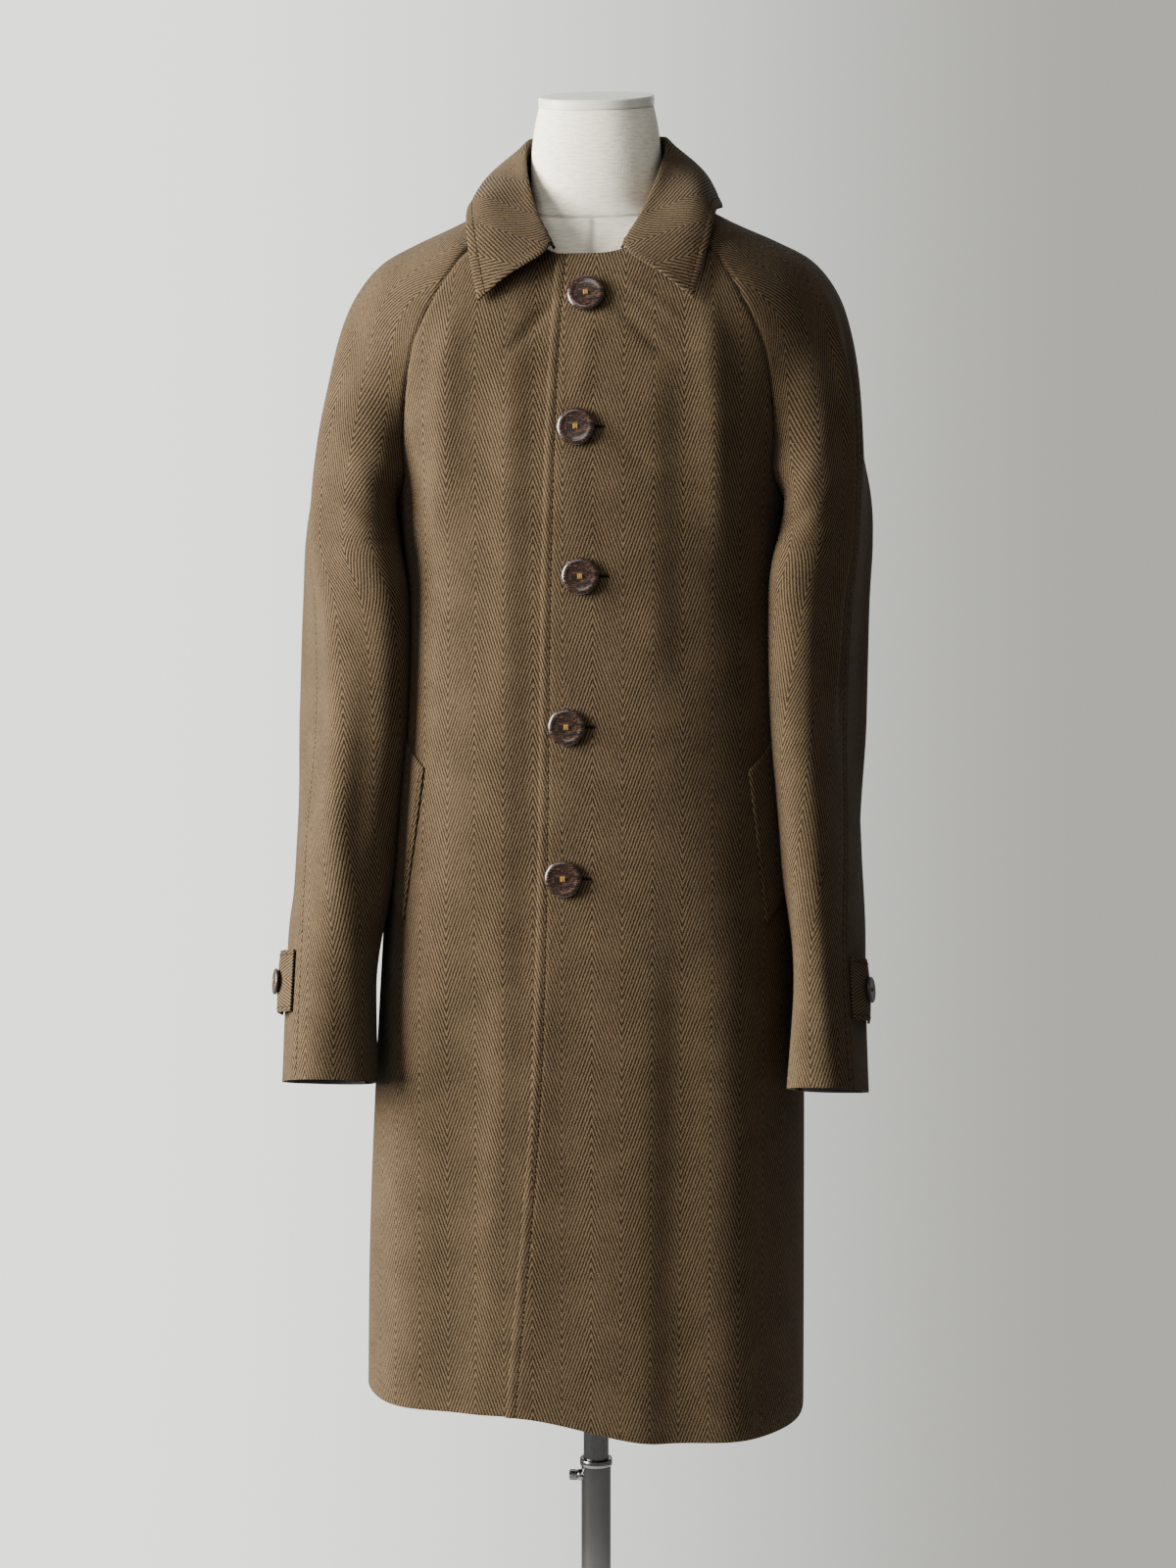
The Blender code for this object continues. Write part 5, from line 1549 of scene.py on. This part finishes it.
def make_form():
    """The linen torso with its sewn neck and centre lines."""
    levels = np.concatenate([
        np.linspace(FORM["z"][0], NECK_FROM, FORM_LEVELS, endpoint=False),
        np.linspace(NECK_FROM, FORM["z"][-1], NECK_LEVELS),
    ])
    half, front, back, tilt = (
        smooth_table(FORM["z"], FORM[name], levels)[:, None]
        for name in ("half_width", "front", "back", "tilt")
    )
    side, ahead = form_outline()
    seam_z = NECK_SEAM_BACK + (NECK_SEAM_FRONT - NECK_SEAM_BACK) * 0.5 * (1.0 - ahead)
    x = -side * half
    y = np.where(ahead < 0, ahead * front, ahead * back)
    z = levels[:, None] + y * np.tan(np.radians(tilt))
    neck_line = np.exp(-(((z - seam_z) / FORM_SEAM_WIDTH) ** 2))
    centre_line = np.exp(-((x / FORM_SEAM_WIDTH) ** 2)) * (z < seam_z)
    sewn = np.maximum(neck_line, centre_line)
    shrink = 1.0 - FORM_SEAM_DIP * sewn / np.hypot(x, y)
    points = np.stack([x * shrink, y * shrink, z], axis=-1)
    made = form_piece("linen_form", points, LINEN, "form_torso")
    set_weave(made.data, np.stack([row_lengths(points), z], axis=-1))
    seam = made.data.attributes.new("seam", "FLOAT", "POINT")
    seam.data.foreach_set("value", (FORM_SEAM_TONE * sewn).astype(np.float32).ravel())


def make_cap():
    """The cap on the neck, with a rounded upper edge."""
    side, ahead = form_outline()
    half, front, back = (FORM[name][-1] for name in ("half_width", "front", "back"))
    turn = np.linspace(0.0, math.pi / 2, CAP_ROUND_STEPS)
    insets = np.concatenate([[0.0], CAP_ROUND * (1.0 - np.cos(turn)), [half - CAP_MIDDLE]])
    heights = np.concatenate([[0.0], CAP_THICK - CAP_ROUND * (1.0 - np.sin(turn)), [CAP_THICK]])
    rings = []
    for inset, height in zip(insets, heights):
        shrink = 1.0 - (inset - CAP_OVERHANG) / half
        y = np.where(ahead < 0, ahead * front, ahead * back) * shrink
        z = FORM["z"][-1] + CAP_GAP + height + y * math.tan(math.radians(FORM["tilt"][-1]))
        rings.append(np.stack([-side * half * shrink, y, z], axis=-1))
    form_piece("cap_on_neck", rings, CAP_FINISH, "neck_cap")


# The stand. Turned pieces keep a pinhole in their middle
STAND_STEPS = 72
PINHOLE = 0.0005
TUBE_EDGE = 0.0004
BOSS_BORE = 0.0030
BOSS_SINK = 0.002


def make_stand():
    """Base plate, tubes and thumb screw with their metal finishes."""
    base = [(max(radius, PINHOLE), height) for radius, height in BASE]
    turned_piece("steel_base", base, STAND_STEPS, STEEL, "base_plate", "stand")
    bore = UPPER_TUBE_RADIUS + SLIDE_GAP
    rim_low = LOWER_TUBE_HIGH - RIM_HEIGHT
    lower = (
        (bore, LOWER_TUBE_HIGH),
        (RIM_RADIUS - TUBE_EDGE, LOWER_TUBE_HIGH),
        (RIM_RADIUS, LOWER_TUBE_HIGH - TUBE_EDGE),
        (RIM_RADIUS, rim_low + TUBE_EDGE),
        (RIM_RADIUS - TUBE_EDGE, rim_low),
        (LOWER_TUBE_RADIUS, rim_low),
        (LOWER_TUBE_RADIUS, LOWER_TUBE_LOW),
        (bore, LOWER_TUBE_LOW),
        (bore, LOWER_TUBE_HIGH),
    )
    turned_piece("chrome_lower_tube", lower, STAND_STEPS, CHROME, "pole_lower", "stand")
    inner = UPPER_TUBE_RADIUS - TUBE_WALL
    upper = (
        (UPPER_TUBE_RADIUS, UPPER_TUBE_HIGH),
        (UPPER_TUBE_RADIUS, UPPER_TUBE_LOW),
        (inner, UPPER_TUBE_LOW),
        (inner, UPPER_TUBE_HIGH),
        (UPPER_TUBE_RADIUS, UPPER_TUBE_HIGH),
    )
    turned_piece("chrome_upper_tube", upper, STAND_STEPS, CHROME, "pole_upper", "pole")
    boss = (
        (BOSS_BORE, BOSS_REACH),
        (BOSS_RADIUS - TUBE_EDGE, BOSS_REACH),
        (BOSS_RADIUS, BOSS_REACH - TUBE_EDGE),
        (BOSS_RADIUS, LOWER_TUBE_RADIUS - BOSS_SINK),
    )
    along = facing_matrix((0.0, 0.0, BOSS_Z), (-1.0, 0.0, 0.0))
    turned_piece("chrome_screw_boss", boss, STAND_STEPS, CHROME, None, "stand", along)
    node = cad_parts["thumb_screw"]
    node.data.materials.clear()
    node.data.materials.append(CHROME)


# Camera, surround and floor
CAMERA_PLACE = (0.2021, -2.3915, 1.1480)
CAMERA_TURN = 5.0
CAMERA_PITCH = 4.785
CAMERA_LENS = 64.5
FLOOR_RADIUS = 0.62
FLOOR_DROP = 0.0002
# Colours of the surround seen by the camera: painted light on the left, falling off to painted shade on the
# right
WALL_PAINTED_LIGHT = (1.950, 1.980, 1.900)
WALL_PAINTED_SHADE = (0.520, 0.515, 0.465)
WALL_LEFT_AT = -0.26
WALL_RIGHT_AT = 0.10
FILL_WHITE = (1.0, 1.0, 1.0, 1.0)
FILL_STRENGTH = 0.30
# Lights: name, place, what each points at, its size, power and colour
LIGHTS = (
    ("window", (-2.7, -1.05, 1.80), (0.0, 0.0, 1.05), (1.5, 2.0), 600.0, (1.0, 0.99, 0.96)),
    ("front fill", (-0.9, -2.9, 2.9), (0.0, 0.0, 1.0), (1.6, 1.2), 34.0, (0.96, 0.98, 1.0)),
    ("back fill", (0.4, 2.8, 2.2), (0.0, 0.0, 1.0), (2.4, 1.6), 28.0, (1.0, 1.0, 1.0)),
)


def make_camera():
    """The camera at the photograph's viewing angle."""
    data = bpy.data.cameras.new("camera")
    data.lens = CAMERA_LENS
    made = bpy.data.objects.new("camera", data)
    made.location = CAMERA_PLACE
    made.rotation_euler = (math.radians(90.0 - CAMERA_PITCH), 0.0, math.radians(CAMERA_TURN))
    bpy.context.scene.collection.objects.link(made)
    bpy.context.scene.camera = made


def make_lights():
    """Soft studio light, stronger from the viewer's left."""
    for name, place, target, size, power, colour in LIGHTS:
        data = bpy.data.lights.new(name, "AREA")
        data.shape = "RECTANGLE"
        data.size, data.size_y = size
        data.energy = power
        data.color = colour
        made = bpy.data.objects.new(name, data)
        made.matrix_world = facing_matrix(place, Vector(place) - Vector(target))
        bpy.context.scene.collection.objects.link(made)


def make_surround():
    """A pale surround with painted light on the left falling off to painted shade on the right, which gives
    even fill light.
    """
    world = bpy.data.worlds.new("surround")
    world.use_nodes = True
    bpy.context.scene.world = world
    tree = world.node_tree
    tree.nodes.clear()
    direction = add_node(tree, "ShaderNodeTexCoord").outputs["Generated"]
    sideways = add_node(tree, "ShaderNodeSeparateXYZ", {0: direction}).outputs[0]
    # The seen surround's ramp from left to right is painted light and shade
    colour = mixed(tree, remap(tree, sideways, WALL_LEFT_AT, WALL_RIGHT_AT), WALL_PAINTED_LIGHT, WALL_PAINTED_SHADE)
    seen = add_node(tree, "ShaderNodeBackground", {"Color": colour, "Strength": 1.0})
    fill = add_node(tree, "ShaderNodeBackground", {"Color": FILL_WHITE, "Strength": FILL_STRENGTH})
    camera_ray = add_node(tree, "ShaderNodeLightPath").outputs["Is Camera Ray"]
    both = add_node(tree, "ShaderNodeMixShader", {0: camera_ray, 1: fill.outputs[0], 2: seen.outputs[0]})
    output = tree.nodes.new("ShaderNodeOutputWorld")
    tree.links.new(both.outputs[0], output.inputs["Surface"])


def make_floor():
    """A plain pale floor."""
    rings = turned_points([(PINHOLE, 0.0), (FLOOR_RADIUS, 0.0)], STAND_STEPS)
    made = new_object("floor", rings, grid_faces(2, STAND_STEPS, True, closed=True), (FLOOR,))
    made.location.z = -FLOOR_DROP


make_camera()
make_lights()
make_surround()
make_floor()
make_fronts()
make_welts()
make_back()
for wearer_side, side_word in SIDES.items():
    make_sleeve(wearer_side, side_word)
    make_tab(wearer_side, side_word)
make_armhole_strips()
make_collar()
make_front_buttons()
make_form()
make_cap()
make_stand()
